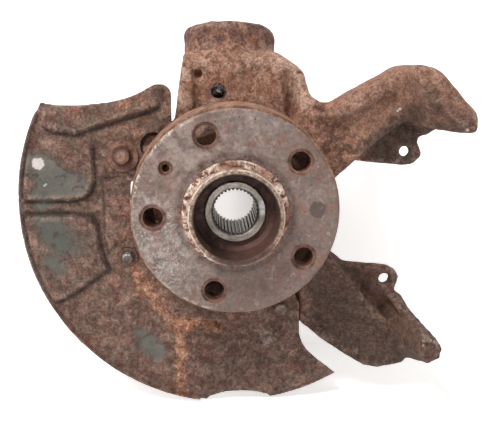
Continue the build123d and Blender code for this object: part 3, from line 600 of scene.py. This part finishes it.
def armSoftness(place):
    # 1 on the upper arm and the hook, where the casting's ribs run softly into each other
    return within(place, ("x", 56, 70), ("z", 28, 40), ("y", 46, 38))


def clampSoftness(place):
    # 1 where the column runs into the strut clamp
    return within(place, ("z", 84, 89), ("z", 106, 100), ("x", -60, -50))


def grooveSoftness(place):
    # 1 in the groove beside the rear rib and half as much in the pit beside the front rib
    rear = within(place, ("x", 20, 25), ("x", 52, 47), ("z", 50, 56), ("z", 94, 90))
    front = within(place, ("x", -31, -28), ("x", -12, -16), ("z", 72, 77), ("z", 92, 89))
    return np.maximum(rear, 0.5 * front) * within(place, ("y", 60, 54))


def lowerSoftness(place):
    # 1 on the web and bridge of the lower arm
    return within(place, ("x", 50, 60), ("x", 112, 104), ("z", -36, -46))


def trimClamp(place):
    # the clamp's rear corner is rubbed away towards the top
    x, y, z = place.T
    return np.stack([x - 4.5 * within(place, ("z", 104, 124), ("x", 8, 24)), y, z], 1), {}


casting = {
    "voxel": 1.45,               # mm, as are all sizes here
    "rounding": [("all over", 4, besideTip), ("upper arm", 34, armSoftness), ("clamp", 26, clampSoftness),
                 ("grooves", 26, grooveSoftness), ("lower arm", 4, lowerSoftness)],
    "lump": (1.1, 11.0),         # height and size
    "scale": (0.7, 4.2),
    "bore": 38.0,
    "seed": 3,
    "hollowPasses": 3,
    "shape": trimClamp,
    "slot": "rusted_casting",
    # webs between the two front lugs, and from the lower arm to behind the shield: radii, angles, depths
    "sectors": [((46.0, 57.5), (148.0, 214.0), (39.0, 46.0)), ((68.0, 94.0), (-63.0, -52.0), (39.0, 45.0))],
}
rustedCopy("knuckle_casting", "knuckle_casting_rusted", casting, castingFinish())

screwCircle = 77.2       # mm, radius on which the shield's screws stand
shieldScrews = {         # bands are (radius in mm, dark, light) from the washer's rim inwards
    "upper": {
        "angle": 155.8, "headShare": 0.95, "plug": (2.6, (26.9, 31.0)),
        "name": "round screw steel, orange rust",
        "bands": [(12, "#6a4638", "#9a7260"), (6.8, "#4a2e26", "#6b4a3f"), (4.6, "#6b473d", "#96705f"),
                  (2.9, "#83604f", "#b08c7a")],
        "glint": "#a5887a",
    },
    "lower": {
        "angle": 206.3, "headShare": 0.66,
        "name": "hexagon screw steel, grey crust",
        "bands": [(12, "#402c24", "#644839"), (6.3, "#543b31", "#84614f"), (4.7, "#2f221d", "#4a3830"),
                  (3.7, "#4c423b", "#80746a")],
        "glint": "#f2ede6",
    },
    "bottom": {
        "angle": 293.5, "headShare": 0.76,
        "name": "hexagon screw steel, brown crust",
        "bands": [(12, "#4e382e", "#74584a"), (5.6, "#3a2922", "#59433a"), (4.4, "#5f4a40", "#8f7869")],
        "glint": "#cdb9aa",
    },
}

shieldPatches = {        # (x, z, radius, softness) in mm
    "orange": [(-74, -22, 8, 6), (-68, -42, 9, 6), (-60, -54, 9, 6), (-50, -66, 8, 5), (-62, 62, 12, 8),
               (-66, 44, 8, 6)],
    "brown": [(-20, -98, 14, 5), (-22, -114, 13, 5), (-4, -108, 18, 8), (-26, -90, 8, 3)],
    "flecks": [(-60, -52, 16, 8), (-38, -84, 16, 8), (-77, -92, 3, 2), (-70, 48, 14, 8), (-74, -4, 8, 6)],
    "old paint": [(-121, 25, 11, 3), (-113, 15, 13, 3), (-101, 14, 9, 3), (-121, 6, 9, 3),
                  (-117, -13, 11, 5), (-110, -25, 10, 6), (-116, -38, 8, 7), (-63, -87, 5, 3),
                  (-58, -93, 7, 3), (-53, -99, 7, 3)],
    "dull": [(30, -98, 34, 16), (-6, -124, 24, 12), (-14, -100, 18, 6)],
    "chalk": [(-123.1, 27.6, 3.8, 0.4)],
    "chalk dots": [(-119.8, 13.6, 0.6, 0.4), (-118.7, 14.4, 0.5, 0.3)],
    "pale scale": [(20, -92, 5, 2.5), (26, -91, 4, 2.0), (47, -97, 1.2, 0.8)],
    "front rim": [(-134, 0, 50, 30)],
}


def shieldFinish():
    # pressed steel sheet, once painted: flaking brown rust with a few islands of the old grey-green paint
    skin = Layers("painted sheet steel, rusted through", shieldPatches)
    paint, tone, shade, relief = skin.paint, skin.tone, skin.shade, skin.relief
    hollow = skin.marked("hollow")
    radius = skin.radius()
    wide = skin.clouds(20, 4, 0.55, 0.3, 11)
    patch = skin.clouds(6, 5, 0.65, 0.4, 12)
    crust = skin.clouds(2.2, 6, 0.72, 0.4, 13)
    grit = skin.clouds(0.7, 4, 0.75, 0, 17)
    hue = skin.clouds(3.4, 5, 0.7, 0.6, 16)
    paint((crust, {0.32: "#644a40", 0.43: "#7d6053", 0.51: "#8c6e60", 0.6: "#9b7d6f", 0.75: "#b99c8f"}))
    paint("#76423a", 0.5, (hue, 0.51, 0.58))
    paint("#756f5f", 0.35, (hue, 0.49, 0.42), (wide, 0.53, 0.45))
    # lighter orange crust between the hub and the seam, and along the seam, with brown beside it
    light = skin.colours(crust, {0.36: "#8a5740", 0.48: "#b0785c", 0.56: "#cb9679", 0.66: "#e8c0a4"})
    paint(light, 0.45, ("orange", patch), (hue, 0.47, 0.56))
    paint("#5a3c33", 0.5, ("brown", wide), (hue, 0.44, 0.54))
    seam = skin.fade(skin.sway(skin.marked("seam distance"), patch, 16), 4.6, 1.8)
    paint(light, 0.95, seam, (crust, 0.34, 0.46))
    flecks = skin.clouds(1.5, 4, 0.7, 0.3, 18)
    paint("#c58462", 0.55, (flecks, 0.56, 0.62), ("flecks", wide))
    # old paint
    ragged = skin.clouds(6, 5, 0.7, 0.4, 14)
    oldPaint = skin.both(("old paint", ragged), (hue, 0.64, 0.6, 0.45, 1))
    paint((wide, {0.4: "#53574f", 0.5: "#5f6059", 0.6: "#6f6d65"}), 0.9, oldPaint)
    tone(0.88, ("dull", wide))
    # chalk marks
    front = skin.front()
    paint("#d8d0c8", 0.95, ("chalk", crust), front)
    paint("#cfc8c0", 0.9, "chalk dots", front)
    paint("#ab9388", 0.8, ("pale scale", patch), (crust, 0.38, 0.5))
    # faint powder on edges, painted shade in the hollows and creases of the pressing,
    paint("#a8897a", 0.5, (hollow, 0.44, 0.2), (crust, 0.42, 0.56))
    tone(0.5, (hollow, 0.56, 0.85), skin.less((radius, 131.5, 133.5), 0.65))
    paint("#36261f", 0.8, skin.marked("crease"), (crust, 0.76, 0.52))
    # painted highlight along the crests of the pads
    paint("#a58d80", 0.6, skin.marked("crest"), (crust, 0.4, 0.56))
    # painted highlight along the rim's edge on the left
    paint("#a89c91", 0.6, (radius, 134.9, 135.5), ("front rim", patch))
    # scale that has lifted leaves stepped edges, but not in the paint
    scale = skin.clouds(7, 5, 0.62, 0.8, 15)
    bare = skin.less(oldPaint, 0.85)
    tone(0.76, (scale, 0.492, 0.5), (scale, 0.512, 0.504), bare)
    level, border = skin.plates(6.5, 3.2, 0.4)
    shade(skin.sway(0.5, level, bare), 0, 1, 0.8, 1.18)
    tone(0.8, (border, 0.09, 0.01), bare)
    shade(skin.sway(0.5, patch, bare), 0.4, 0.6, 0.88, 1.12)
    shade(skin.sway(0.5, grit, bare), 0.4, 0.58, 0.7, 1.26)
    relief(0.5, (scale, 0.5, 0.512), bare)
    relief(0.5, (scale, 0.58, 0.592), bare)
    relief(2, patch, bare)
    relief(2.2, crust, bare)
    relief(0.5, level, bare)
    relief(0.9, grit, bare)
    return skin.finish(0.86)


pressing = {             # mm
    "padHeight": 2.8,
    "stepHeight": 1.2,
    "seamHeight": 0.9,
    "seamHalf": 3.4,
    "rimInside": 134.6,
    "screwSeat": 10.5,
    "slitLean": 0.06,    # for each mm of height above 4, up to 14 of them
    "slitPlace": 66.3,
    "plainPadHeight": 2.4,
    "plainPadSlope": 0.84,
    "plainBeadHeight": 1.2,
    "plainBeadHalf": 2.3,
    # the node's own pads and beads, which the soft pressing takes the place of
    "plainPads": [
        [(-117, 48), (-107, 46), (-94, 46), (-75, 52), (-60, 58), (-46, 61.5), (-46, 68), (-62, 68),
         (-80, 62.5), (-97, 59.5), (-115, 59.5)],
        [(-90, 40), (-87, 25), (-87, 12), (-93, 5), (-127, 3), (-130, 22), (-124, 42), (-98, 43)],
        [(-129, -6), (-90, -6), (-86, -22), (-82, -33), (-80, -42), (-93, -51), (-109, -61), (-120, -44),
         (-127, -24)],
    ],
    "plainBeads": [[(-38.2, -73), (-36.6, -94), (-35.9, -121)], [(-36, -79), (-13, -81)]],
    "bandLine": [(-125, 52.5), (-119.2, 50.7), (-115.8, 47.7), (-108.1, 46.1), (-99.9, 45), (-91.5, 47.6),
                 (-83.1, 50.2), (-72.6, 53.8), (-62.1, 56.9), (-53.7, 59.4), (-46.1, 62.9), (-38, 66)],
    "upperPad": [(-89.2, 46), (-88.3, 24), (-88.7, 14.5), (-91.3, 8.2), (-95.5, 4.4), (-106, 2.8),
                 (-150, 3.2), (-150, 46)],
    "lowerPad": [(-150, -5.2), (-104.6, -5), (-90.8, -6.6), (-87.9, -14.2), (-86.5, -26.2), (-83.7, -37.6),
                 (-81.3, -42.4), (-94.7, -51.7), (-110, -62), (-150, -75)],
    "innerStep": [(-84.5, 17), (-83.4, 12), (-83.1, -3), (-83.8, -19.5), (-82.1, -29.6), (-79, -36),
                  (-60, -36), (-40, 0), (-60, 20)],
    "rearStep": [(-36.6, -140), (-37, -84), (-34, -82), (-12, -84), (10, -92), (60, -92), (60, -150),
                 (-36, -150)],
    "seam": [(-66.1, -39.2), (-60.8, -51.5), (-51.4, -68.2), (-39.7, -80.4), (-37.2, -84.6), (-36.4, -114.7),
             (-36.1, -131.4)],
    "seamBranch": [(-39.7, -80.4), (-24.4, -80), (-12.4, -83)],
}


def pressSheet(place):
    # the soft pressings of the shield: the pads run out to the rim, and two low steps lie nearer the hub
    x, y, z = place.T
    flat = np.stack([x, z], 1)
    old, new, crease, crest = np.zeros((4, len(x)))
    for corners in pressing["plainPads"]:
        rise = insideDistance(flat, corners) / pressing["plainPadSlope"]
        old = np.maximum(old, np.clip(rise, 0, pressing["plainPadHeight"]))
    for route in pressing["plainBeads"]:
        rise = np.clip((pressing["plainBeadHalf"] - routeDistance(flat, route)) / 0.4, 0, 1)
        old = np.maximum(old, rise * pressing["plainBeadHeight"])
    bandX, bandZ = zip(*pressing["bandLine"])
    pads = [     # share of the full height, and how far each pad has faded out
        ((z - np.interp(x, bandX, bandZ) + 0.8) / 3.6, within(place, ("x", -121, -117), ("x", -43.5, -48.5))),
        ((insideDistance(flat, pressing["upperPad"]) + 0.8) / 3.4, within(place, ("z", 44, 32))),
        ((insideDistance(flat, pressing["lowerPad"]) + 0.8) / 3.4, 1.0),
    ]
    for share, fade in pads:
        new = np.maximum(new, pressing["padHeight"] * smoothStep(share) * fade)
        crease = np.maximum(crease, np.exp(-((share - 0.15) / 0.55) ** 2) * fade)
        crest = np.maximum(crest, np.exp(-((share - 1.15) / 0.4) ** 2) * fade)
    inner = (insideDistance(flat, pressing["innerStep"]) + 0.5) / 2.4
    rear = (insideDistance(flat, pressing["rearStep"]) + 3.5) / 5.0
    new += pressing["stepHeight"] * (smoothStep(inner) + smoothStep(rear))
    crease = np.maximum(crease, 0.8 * np.exp(-((inner - 0.1) / 0.5) ** 2))
    seam = routeDistance(flat, pressing["seam"], pressing["seamBranch"])
    new += pressing["seamHeight"] * smoothStep((pressing["seamHalf"] - seam) / pressing["seamHalf"])
    inRim = smoothStep((pressing["rimInside"] - np.hypot(x, z)) / 1.5)
    clear = np.ones(len(x))      # the sheet stays as it is round the screws
    for screw in shieldScrews.values():
        sx, sz = onCircle(screwCircle, screw["angle"])
        clear *= smoothStep((np.hypot(x - sx, z - sz) - pressing["screwSeat"]) / 3.0)
    y = y + (old - new * clear) * inRim
    # the slit beside the flange leans towards it
    lean = pressing["slitLean"] * np.clip(z - 4, 0, 14) * np.exp(-((x + pressing["slitPlace"]) / 2.5) ** 2)
    x = x + lean * within(place, ("z", 18, 16), ("z", 0.5, 3.5))
    # crease and crest mark where painted shade and a painted highlight lie along the pads' edges
    marks = {"crease": crease * inRim * clear, "crest": crest * inRim * clear, "seam distance": seam}
    return np.stack([x, y, z], 1), marks


sheet = {
    "voxel": 0.74, "rounding": [("all over", 2, None)], "lump": (0.55, 26.0), "scale": (0.3, 4.0), "seed": 5,
    "hollowPasses": 4, "shape": pressSheet, "slot": "rusted_sheet",
}
rustedCopy("splash_shield", "splash_shield_rusted", sheet, shieldFinish())


def screwSetup(screw):
    # screw head drawn in towards its axis, and a rust plug in the round screw's socket
    cx, cz = onCircle(screwCircle, screw["angle"])

    def drawIn(place):
        x, y, z = place.T
        share = 1 - (1 - screw["headShare"]) * smoothStep((31.4 - y) / 0.5)
        return np.stack([cx + (x - cx) * share, y, cz + (z - cz) * share], 1), {}

    return {
        "voxel": 0.34, "rounding": [("all over", 1, None)], "lump": (0.4, 4.0), "scale": (0.1, 1.6),
        "seed": 8, "hollowPasses": 2, "shape": drawIn, "slot": "screw_steel",
        "plugs": [((cx, cz), *screw["plug"])] if "plug" in screw else [],
    }


def screwFinish(screw):
    # rusted zinc-plated steel in bands of crust round the axis, and painted glints on the head's upper left
    # the dark band round the head is painted shade in the gap as well as crust
    skin = Layers(screw["name"])
    cx, cz = onCircle(screwCircle, screw["angle"])
    crust = skin.clouds(1.4, 5, 0.7, 0.2, screw["angle"])
    for radius, dark, light in screw["bands"]:
        skin.paint((crust, {0.38: dark, 0.62: light}), 1.0, skin.blobs([(cx, cz, radius, 0.4)]))
    # painted glints on the upper left of the head
    glints = [(cx - 2.3, cz + 1.5, 0.8, 0.6), (cx - 0.7, cz + 2.6, 0.8, 0.6), (cx + 1.2, cz + 2.5, 0.6, 0.5)]
    skin.paint(screw["glint"], 0.75, skin.blobs(glints), (crust, 0.4, 0.52))
    skin.relief(0.9, crust)
    return skin.finish(0.7, 0.1)


for name, screw in shieldScrews.items():
    node = "shield_screw_" + name
    rustedCopy(node, node + "_rusted", screwSetup(screw), screwFinish(screw))


def crustFinish(name, stops, seed, roughness=0.85):
    # small piece with a thin crust of rust or dirt
    skin = Layers(name)
    patch = skin.clouds(2.6, 5, 0.7, 0.3, seed)
    grit = skin.clouds(0.8, 4, 0.7, 0.0, seed + 1)
    skin.paint((patch, stops))
    skin.shade(grit, 0.36, 0.62, 0.75, 1.12)
    skin.relief(0.35, patch)
    skin.relief(0.16, grit)
    return skin.finish(roughness)


def cleanFinish(name, hexCode, roughness, metallic, sizeMm, reliefMm):
    # new or covered surface with only a faint texture
    skin = Layers(name)
    fine = skin.clouds(sizeMm, 4, 0.6, 0.0, 31.0)
    skin.paint(hexCode)
    skin.shade(fine, 0.3, 0.7, 0.82, 1.08)
    skin.relief(reliefMm, fine)
    return skin.finish(roughness, metallic)


def packDirt(place):
    # the sensor's nose is flattened and squeezed under packed dirt
    x, y, z = place.T
    share = smoothStep((52 - y) / 8)
    return np.stack([x - (x + 9.4) * 0.25 * share, y, z - (z - 74.5) * 0.35 * share], 1), {}


sensor = {
    "voxel": 0.5, "rounding": [("all over", 2, None)], "lump": (7.0, 3.0), "scale": (2.2, 1.4), "seed": 11,
    "hollowPasses": 2, "shape": packDirt, "slot": "sensor_plastic",
}
# satin moulded plastic: black, greyer in patches, with small pale specks that are painted glints
wornPlastic = crustFinish("black plastic under road dirt", {
    0.36: "#161413", 0.5: "#262220", 0.58: "#3d3632", 0.68: "#c8c0b8"}, 53, 0.35)
rustedCopy("speed_sensor", "speed_sensor_dirty", sensor, wornPlastic)


def flaredCopy(nodeName, pieceName, body, setup, finish):
    # the plain node drawn out towards the back
    mesh = mergedCopy(nodeName, setup)
    mesh.materials.append(finish)
    x, y, z = (readPoints(mesh) / mm).T
    before, after, wider = zip(*setup["flare"])
    radius = np.hypot(x, z)
    share = (radius + np.interp(y, before, wider)) / radius
    writePoints(mesh, np.stack([x * share, np.interp(y, before, after), z * share], 1) * mm)
    mesh.set_sharp_from_angle(angle=math.radians(30))
    standIn(addObject(pieceName, mesh), nodeName, body)


sensorRing = {
    "flare": [(4.5, 4.5, 0.0), (9.6, 9.6, 0.3), (17.5, 29.0, 2.0)],      # (y, new y, added radius) in mm
    "slot": "sensor_ring_steel",
}
# pressed steel, matt with powdery orange rust
ringRust = crustFinish("pressed steel ring, orange rust", {
    0.36: "#6e4f40", 0.46: "#8d6753", 0.56: "#a88069", 0.68: "#c9a48a"}, 47)
flaredCopy("speed_sensor_ring", "speed_sensor_ring_flared", "hub", sensorRing, ringRust)

print("stage: finishes of the nodes that keep their mesh")
hubHoles = {             # mm and degrees
    "circle": 50.0,
    "first": 38.4,
    "screw": 146.4,
    "wall": 6.5,
    "countersink": 8.3,
    "screwWall": 2.8,
    "screwCountersink": 4.6,
}
hubPatches = {           # (x, z, radius, softness) in mm
    "reddish": [(46, -22, 32, 16), (42, 34, 18, 12), (0, -54, 18, 10)],
    "pale flakes": [(-48, -22, 17, 10), (-53, 6, 10, 8)],
    "specks": [(-50, -6, 16, 10), (-42, -32, 13, 9)],
    "pale stain": [(-34, 36, 22, 12)],
    "dull": [(4, -50, 26, 14), (-32, -46, 10, 10)],
    "pits": [(0, 54, 22, 8), (-40, -30, 8, 8)],
    "chips": [(-42, 44, 20, 10), (-57, 20, 14, 10), (-30, -52, 16, 8)],
    "cream": [(-22, 22, 15, 7), (-32, -6, 11, 7), (8, 31, 7, 6), (28, 16, 9, 6), (-20, -26, 10, 6),
              (-30, 10, 10, 6)],
    "dark lip": [(-6, -30, 12, 6), (6, -31, 12, 6), (18, -25, 10, 6)],
    "red inside": [(14, -16, 16, 12)],
    "glint": [(16.8, 3.8, 2.6, 1.8), (16.4, 0.2, 2.0, 1.6)],
    "gauge spot": [(49.8, 1.9, 4.9, 0.5)],
}


def hubFinish():
    # turned steel hub: dull grey-mauve stain over the machined face, rust round every hole and at the
    # foot of the spigot, cream scale on the seat, dark brown inside and clean steel on the teeth
    skin = Layers("turned steel, stained and spot-rusted", hubPatches)
    paint, tone, shade, relief = skin.paint, skin.tone, skin.shade, skin.relief
    radius = skin.radius()
    depth = skin.axis(1)
    wide = skin.clouds(16, 4, 0.55, 0.2, 21)
    patch = skin.clouds(4.5, 7, 0.72, 0.4, 22)
    grit = skin.clouds(1.1, 4, 0.75, 0, 23)
    flake = skin.clouds(2.2, 7, 0.74, 0.3, 24)
    paint((patch, {0.36: "#6e5f59", 0.46: "#82716a", 0.54: "#917f77", 0.66: "#a8998f"}))
    paint("#7d5f55", 0.45, (wide, 0.49, 0.58))
    paint("#8a8578", 0.3, (skin.clouds(9, 5, 0.7, 0.2, 27), 0.48, 0.41))
    # reddish towards the rear and the bottom, pale flakes towards the front
    paint("#74594e", 0.6, ("reddish", wide), (patch, 0.42, 0.54))
    paint("#b9b1aa", 0.5, ("pale flakes", wide), (flake, 0.49, 0.57))
    paint("#b3a9a2", 0.4, (flake, 0.57, 0.62))
    paint("#d0c8c0", 0.55, (skin.clouds(0.8, 4, 0.7, 0.2, 28), 0.54, 0.6), ("specks", wide))
    paint("#8a5f50", 0.6, (skin.clouds(4.2, 7, 0.72, 0.25, 26), 0.57, 0.59))
    # painted light, paler towards the top left, and below it painted shade, darker towards the bottom
    paint("#a8968c", 0.55, ("pale stain", wide), (patch, 0.42, 0.54))
    tone(0.89, ("dull", wide))
    # black pits
    paint("#2f2623", 0.9, (skin.clouds(1.1, 2, 0.5, 0, 25), 0.7, 0.72), "pits")
    # rust rings round the wheel bolt holes and the disc screw hole
    holes = [onCircle(hubHoles["circle"], hubHoles["first"] + 72 * i) for i in range(5)]
    screwHole = onCircle(hubHoles["circle"], hubHoles["screw"])
    sinks, walls = [[(*hole, hubHoles[bolt]) for hole in holes] + [(*screwHole, hubHoles[screw])]
                    for bolt, screw in (("countersink", "screwCountersink"), ("wall", "screwWall"))]
    paint("#866458", 0.5, skin.blobs([(x, z, r + 0.5, 0.5) for x, z, r in sinks]), (flake, 0.44, 0.5))
    paint((patch, {0.38: "#603f35", 0.5: "#866054", 0.64: "#b08b7c"}), 0.92,
          skin.blobs([(*sink, 0.2) for sink in sinks]))
    # rolled edge of the flange
    paint((patch, {0.38: "#75594c", 0.5: "#94786a", 0.64: "#b8a090"}), 0.6, (radius, 61.8, 62.3))
    paint("#dccdbe", 0.7, (radius, 60.2, 61.4), "chips", (flake, 0.5, 0.56))
    # foot of the spigot: red-brown flakes, then the seat with its cream scale
    foot = skin.fade(skin.sway(radius, patch, 9), 36.8, 33.6)
    paint((grit, {0.38: "#50312a", 0.5: "#6b4a40", 0.62: "#8f6a5a"}), 0.75, foot, (flake, 0.46, 0.54))
    # painted shade in a ring round the seat, and a painted lighter ring outside it
    tone(0.8, (radius, 33.5, 35), (radius, 38.5, 36))
    tone(1.1, (radius, 38, 39.5), (radius, 42.5, 40.5))
    seat = skin.fade(depth, -1, -1.8)
    paint((flake, {0.38: "#522d26", 0.46: "#82503f", 0.53: "#a0735f", 0.62: "#c09a84"}), 1, seat)
    paint((grit, {0.38: "#bd9f8d", 0.5: "#e6cfbf", 0.62: "#f8ece0"}), 0.92, seat, "cream", (flake, 0.45, 0.5))
    # end of the spigot: worn brown-grey metal with a bright outer edge
    lip = skin.fade(depth, -13.2, -14.4)
    paint((grit, {0.34: "#665045", 0.46: "#8f7868", 0.56: "#a68f7e", 0.68: "#cdb9a5"}), 0.95, lip)
    paint("#e4d3c0", 0.85, lip, (radius, 27.6, 28), (flake, 0.4, 0.5))
    # darker towards the bottom of the spigot
    paint("#3a2620", 0.88, (depth, -6, -8), ("dark lip", flake))
    # inside the spigot: dark brown, with painted light lower right, lighter and redder
    inside = skin.both((radius, 26, 25.6), (depth, -15.7, -15.2))
    paint((patch, {0.38: "#2c1c17", 0.5: "#47302a", 0.62: "#684a40"}), 1, inside)
    paint("#7c584c", 0.6, inside, ("red inside", patch))
    # clean steel where the nut bears, and on the teeth
    clean = skin.both((skin.sway(radius, flake, 5), 18.8, 18.2), (depth, 3, 4))
    paint((patch, {0.36: "#8a7f75", 0.5: "#a79d93", 0.64: "#c2b9af"}), 1, clean)
    # painted glint on the right of the nut's seat, which is also less metallic there
    glint = skin.both(clean, "glint")
    paint("#ffffff", 1, glint)
    teeth = skin.both((radius, 15.3, 15), (depth, 5.2, 6.2))
    paint((patch, {0.36: "#877a6f", 0.5: "#a09488", 0.64: "#bbb1a5"}), 1, teeth)
    # painted shade between the teeth
    tone(0.25, teeth, (radius, 13, 13.9))
    # bevel round each hole, and its wall
    relief(-2.4, skin.blobs([(x, z, r - 0.9, 0.9) for x, z, r in sinks]))
    paint((patch, {0.36: "#5a3528", 0.5: "#86604f", 0.64: "#a37c68"}), 1,
          skin.blobs([(*wall, 0.25) for wall in walls]), (depth, 0.3, 0.9))
    paint("#453b35", 0.62, "gauge spot")
    shade(grit, 0.38, 0.58, 0.82, 1.1)
    relief(0.6, patch)
    relief(0.5, flake)
    relief(0.25, grit)
    # relief turned round the seat, and turning marks drawn 1.1 mm apart so that they show
    relief(0.25, (radius, 35, 36.6))
    markGap = 1.1
    relief(0.015, skin.add("Math", "SINE", {0: skin.both(radius, 2 * math.pi / markGap)})[0])
    bright = skin.either(clean, teeth)
    metallic = skin.plus(0.2, skin.plus(bright, glint, -1), 0.45)
    return skin.finish(skin.plus(0.62, bright, -0.24), metallic)


# ground and hardened steel, bright and smooth
steel = cleanFinish("ground bearing steel", "#a09c96", 0.25, 1.0, 0.6, 0.01)
# moulded plastic and rubber: satin brown cages and matt black seals
nylon = cleanFinish("moulded nylon", "#4b4336", 0.5, 0.0, 1.5, 0.03)
rubber = cleanFinish("moulded seal rubber", "#1d1c1b", 0.7, 0.0, 1.0, 0.05)
# satin spring steel, and zinc-plated steel dulled by rust
spring = crustFinish("spring steel, oiled brown", {0.3: "#3b312c", 0.5: "#54463e", 0.7: "#6e5c50"}, 51, 0.5)
screwRust = crustFinish("zinc-plated screw steel, rusted", {
    0.36: "#54342c", 0.46: "#6b493e", 0.56: "#835f51", 0.68: "#a07a66"}, 41)
finishes = {"wheel_hub": hubFinish(), "speed_sensor_screw": screwRust, "bearing_circlip": spring}
for name, node in nodes.items():
    finish = finishes.get(name, nylon if "cage" in name else rubber if "seal" in name else steel)
    node.data.materials.clear()
    node.data.materials.append(finish)

print("stage: floor, backdrop and light")
low, high = cadBox
stageSetup = {           # metres
    "floor": low[2] - 1 * mm,
    "back": high[1] + 6 * mm,
    "reach": 6.0,
    "tint": "#fbfaf9",
    "glow": "#fdfcfb",
    "glowStrength": (0.24, 0.55),        # behind the hub's bore, and elsewhere
    "borePlace": (0.006, -0.02),
    "boreReach": (0.022, 0.04),
    "roomStrength": (0.3, 0.85),        # on the part, and where the camera sees the room
}
lamps = {                # metres and watts
    "key": {"place": (-0.62, -0.75, 1.1), "size": 0.45, "power": 16},
    "fill": {"place": (0.9, -1.0, 0.2), "size": 1.0, "power": 2.5},
}


def stageSheet(name, corners, finish):
    mesh = bpy.data.meshes.new(name)
    mesh.from_pydata(corners, [], [(0, 1, 2, 3)])
    mesh.materials.append(finish)
    addObject(name, mesh)


def paperFinish(setup):
    # matt white paper, lit from behind where the camera or a reflection sees it
    material, tree = newMaterial("white paper")
    add = partial(addNode, tree)
    rays = add("LightPath")
    seen = add("Math", "ADD", {0: rays["Is Camera Ray"], 1: rays["Is Glossy Ray"]})
    seen = add("Math", {"operation": "ADD", "use_clamp": True}, {0: seen[0], 1: rays["Is Transmission Ray"]})
    diffuse = add("BsdfDiffuse", links={"Color": linearColour(setup["tint"])})
    place = add("TexCoord")["Object"]
    # painted shade: the paper glows less behind the hub's bore
    bore = (setup["borePlace"][0], setup["back"], setup["borePlace"][1])
    reach = add("VectorMath", "DISTANCE", {0: place, 1: bore})
    dim = add("MapRange", links={
        "Value": reach["Value"], "From Min": setup["boreReach"][0], "From Max": setup["boreReach"][1],
        "To Min": setup["glowStrength"][0], "To Max": setup["glowStrength"][1]})
    glow = add("Emission", links={"Color": linearColour(setup["glow"]), "Strength": dim[0]})
    lit = add("AddShader", links={0: diffuse[0], 1: glow[0]})
    mix = add("MixShader", links={0: seen[0], 1: diffuse[0], 2: lit[0]})
    # the paper has no back, so that it never hides the part
    behind = add("NewGeometry")["Backfacing"]
    clear = add("BsdfTransparent")
    oneSided = add("MixShader", links={0: behind, 1: mix[0], 2: clear[0]})
    add("OutputMaterial", links={"Surface": oneSided[0]})
    return material


paper = paperFinish(stageSetup)
floorZ, back, reach = stageSetup["floor"], stageSetup["back"], stageSetup["reach"]
fold = [(-reach, back, floorZ), (reach, back, floorZ)]      # where the backdrop meets the floor
stageSheet("backdrop", fold + [(reach, back, reach), (-reach, back, reach)], paper)
stageSheet("floor", [(-reach, -reach, floorZ), (reach, -reach, floorZ)] + fold[::-1], paper)
centre = Vector((0.0, 0.03, 0.0))
for name, lamp in lamps.items():
    light = bpy.data.lights.new(name, "AREA")
    light.shape = "DISK"
    light.size = lamp["size"]
    light.energy = lamp["power"]
    lightObject = addObject(name, light)
    lightObject.location = lamp["place"]
    lightObject.rotation_euler = (centre - Vector(lamp["place"])).to_track_quat("-Z", "Y").to_euler()

world = bpy.data.worlds.new("soft room")
scene.world = world
world.use_nodes = True
seenRoom = addNode(world.node_tree, "LightPath")["Is Camera Ray"]
strength = addNode(world.node_tree, "MapRange", links={
    "Value": seenRoom, "To Min": stageSetup["roomStrength"][0], "To Max": stageSetup["roomStrength"][1]})
background = world.node_tree.nodes["Background"]
background.inputs["Color"].default_value = (1, 1, 1, 1)
world.node_tree.links.new(strength[0], background.inputs["Strength"])
scene.view_settings.view_transform = "Standard"
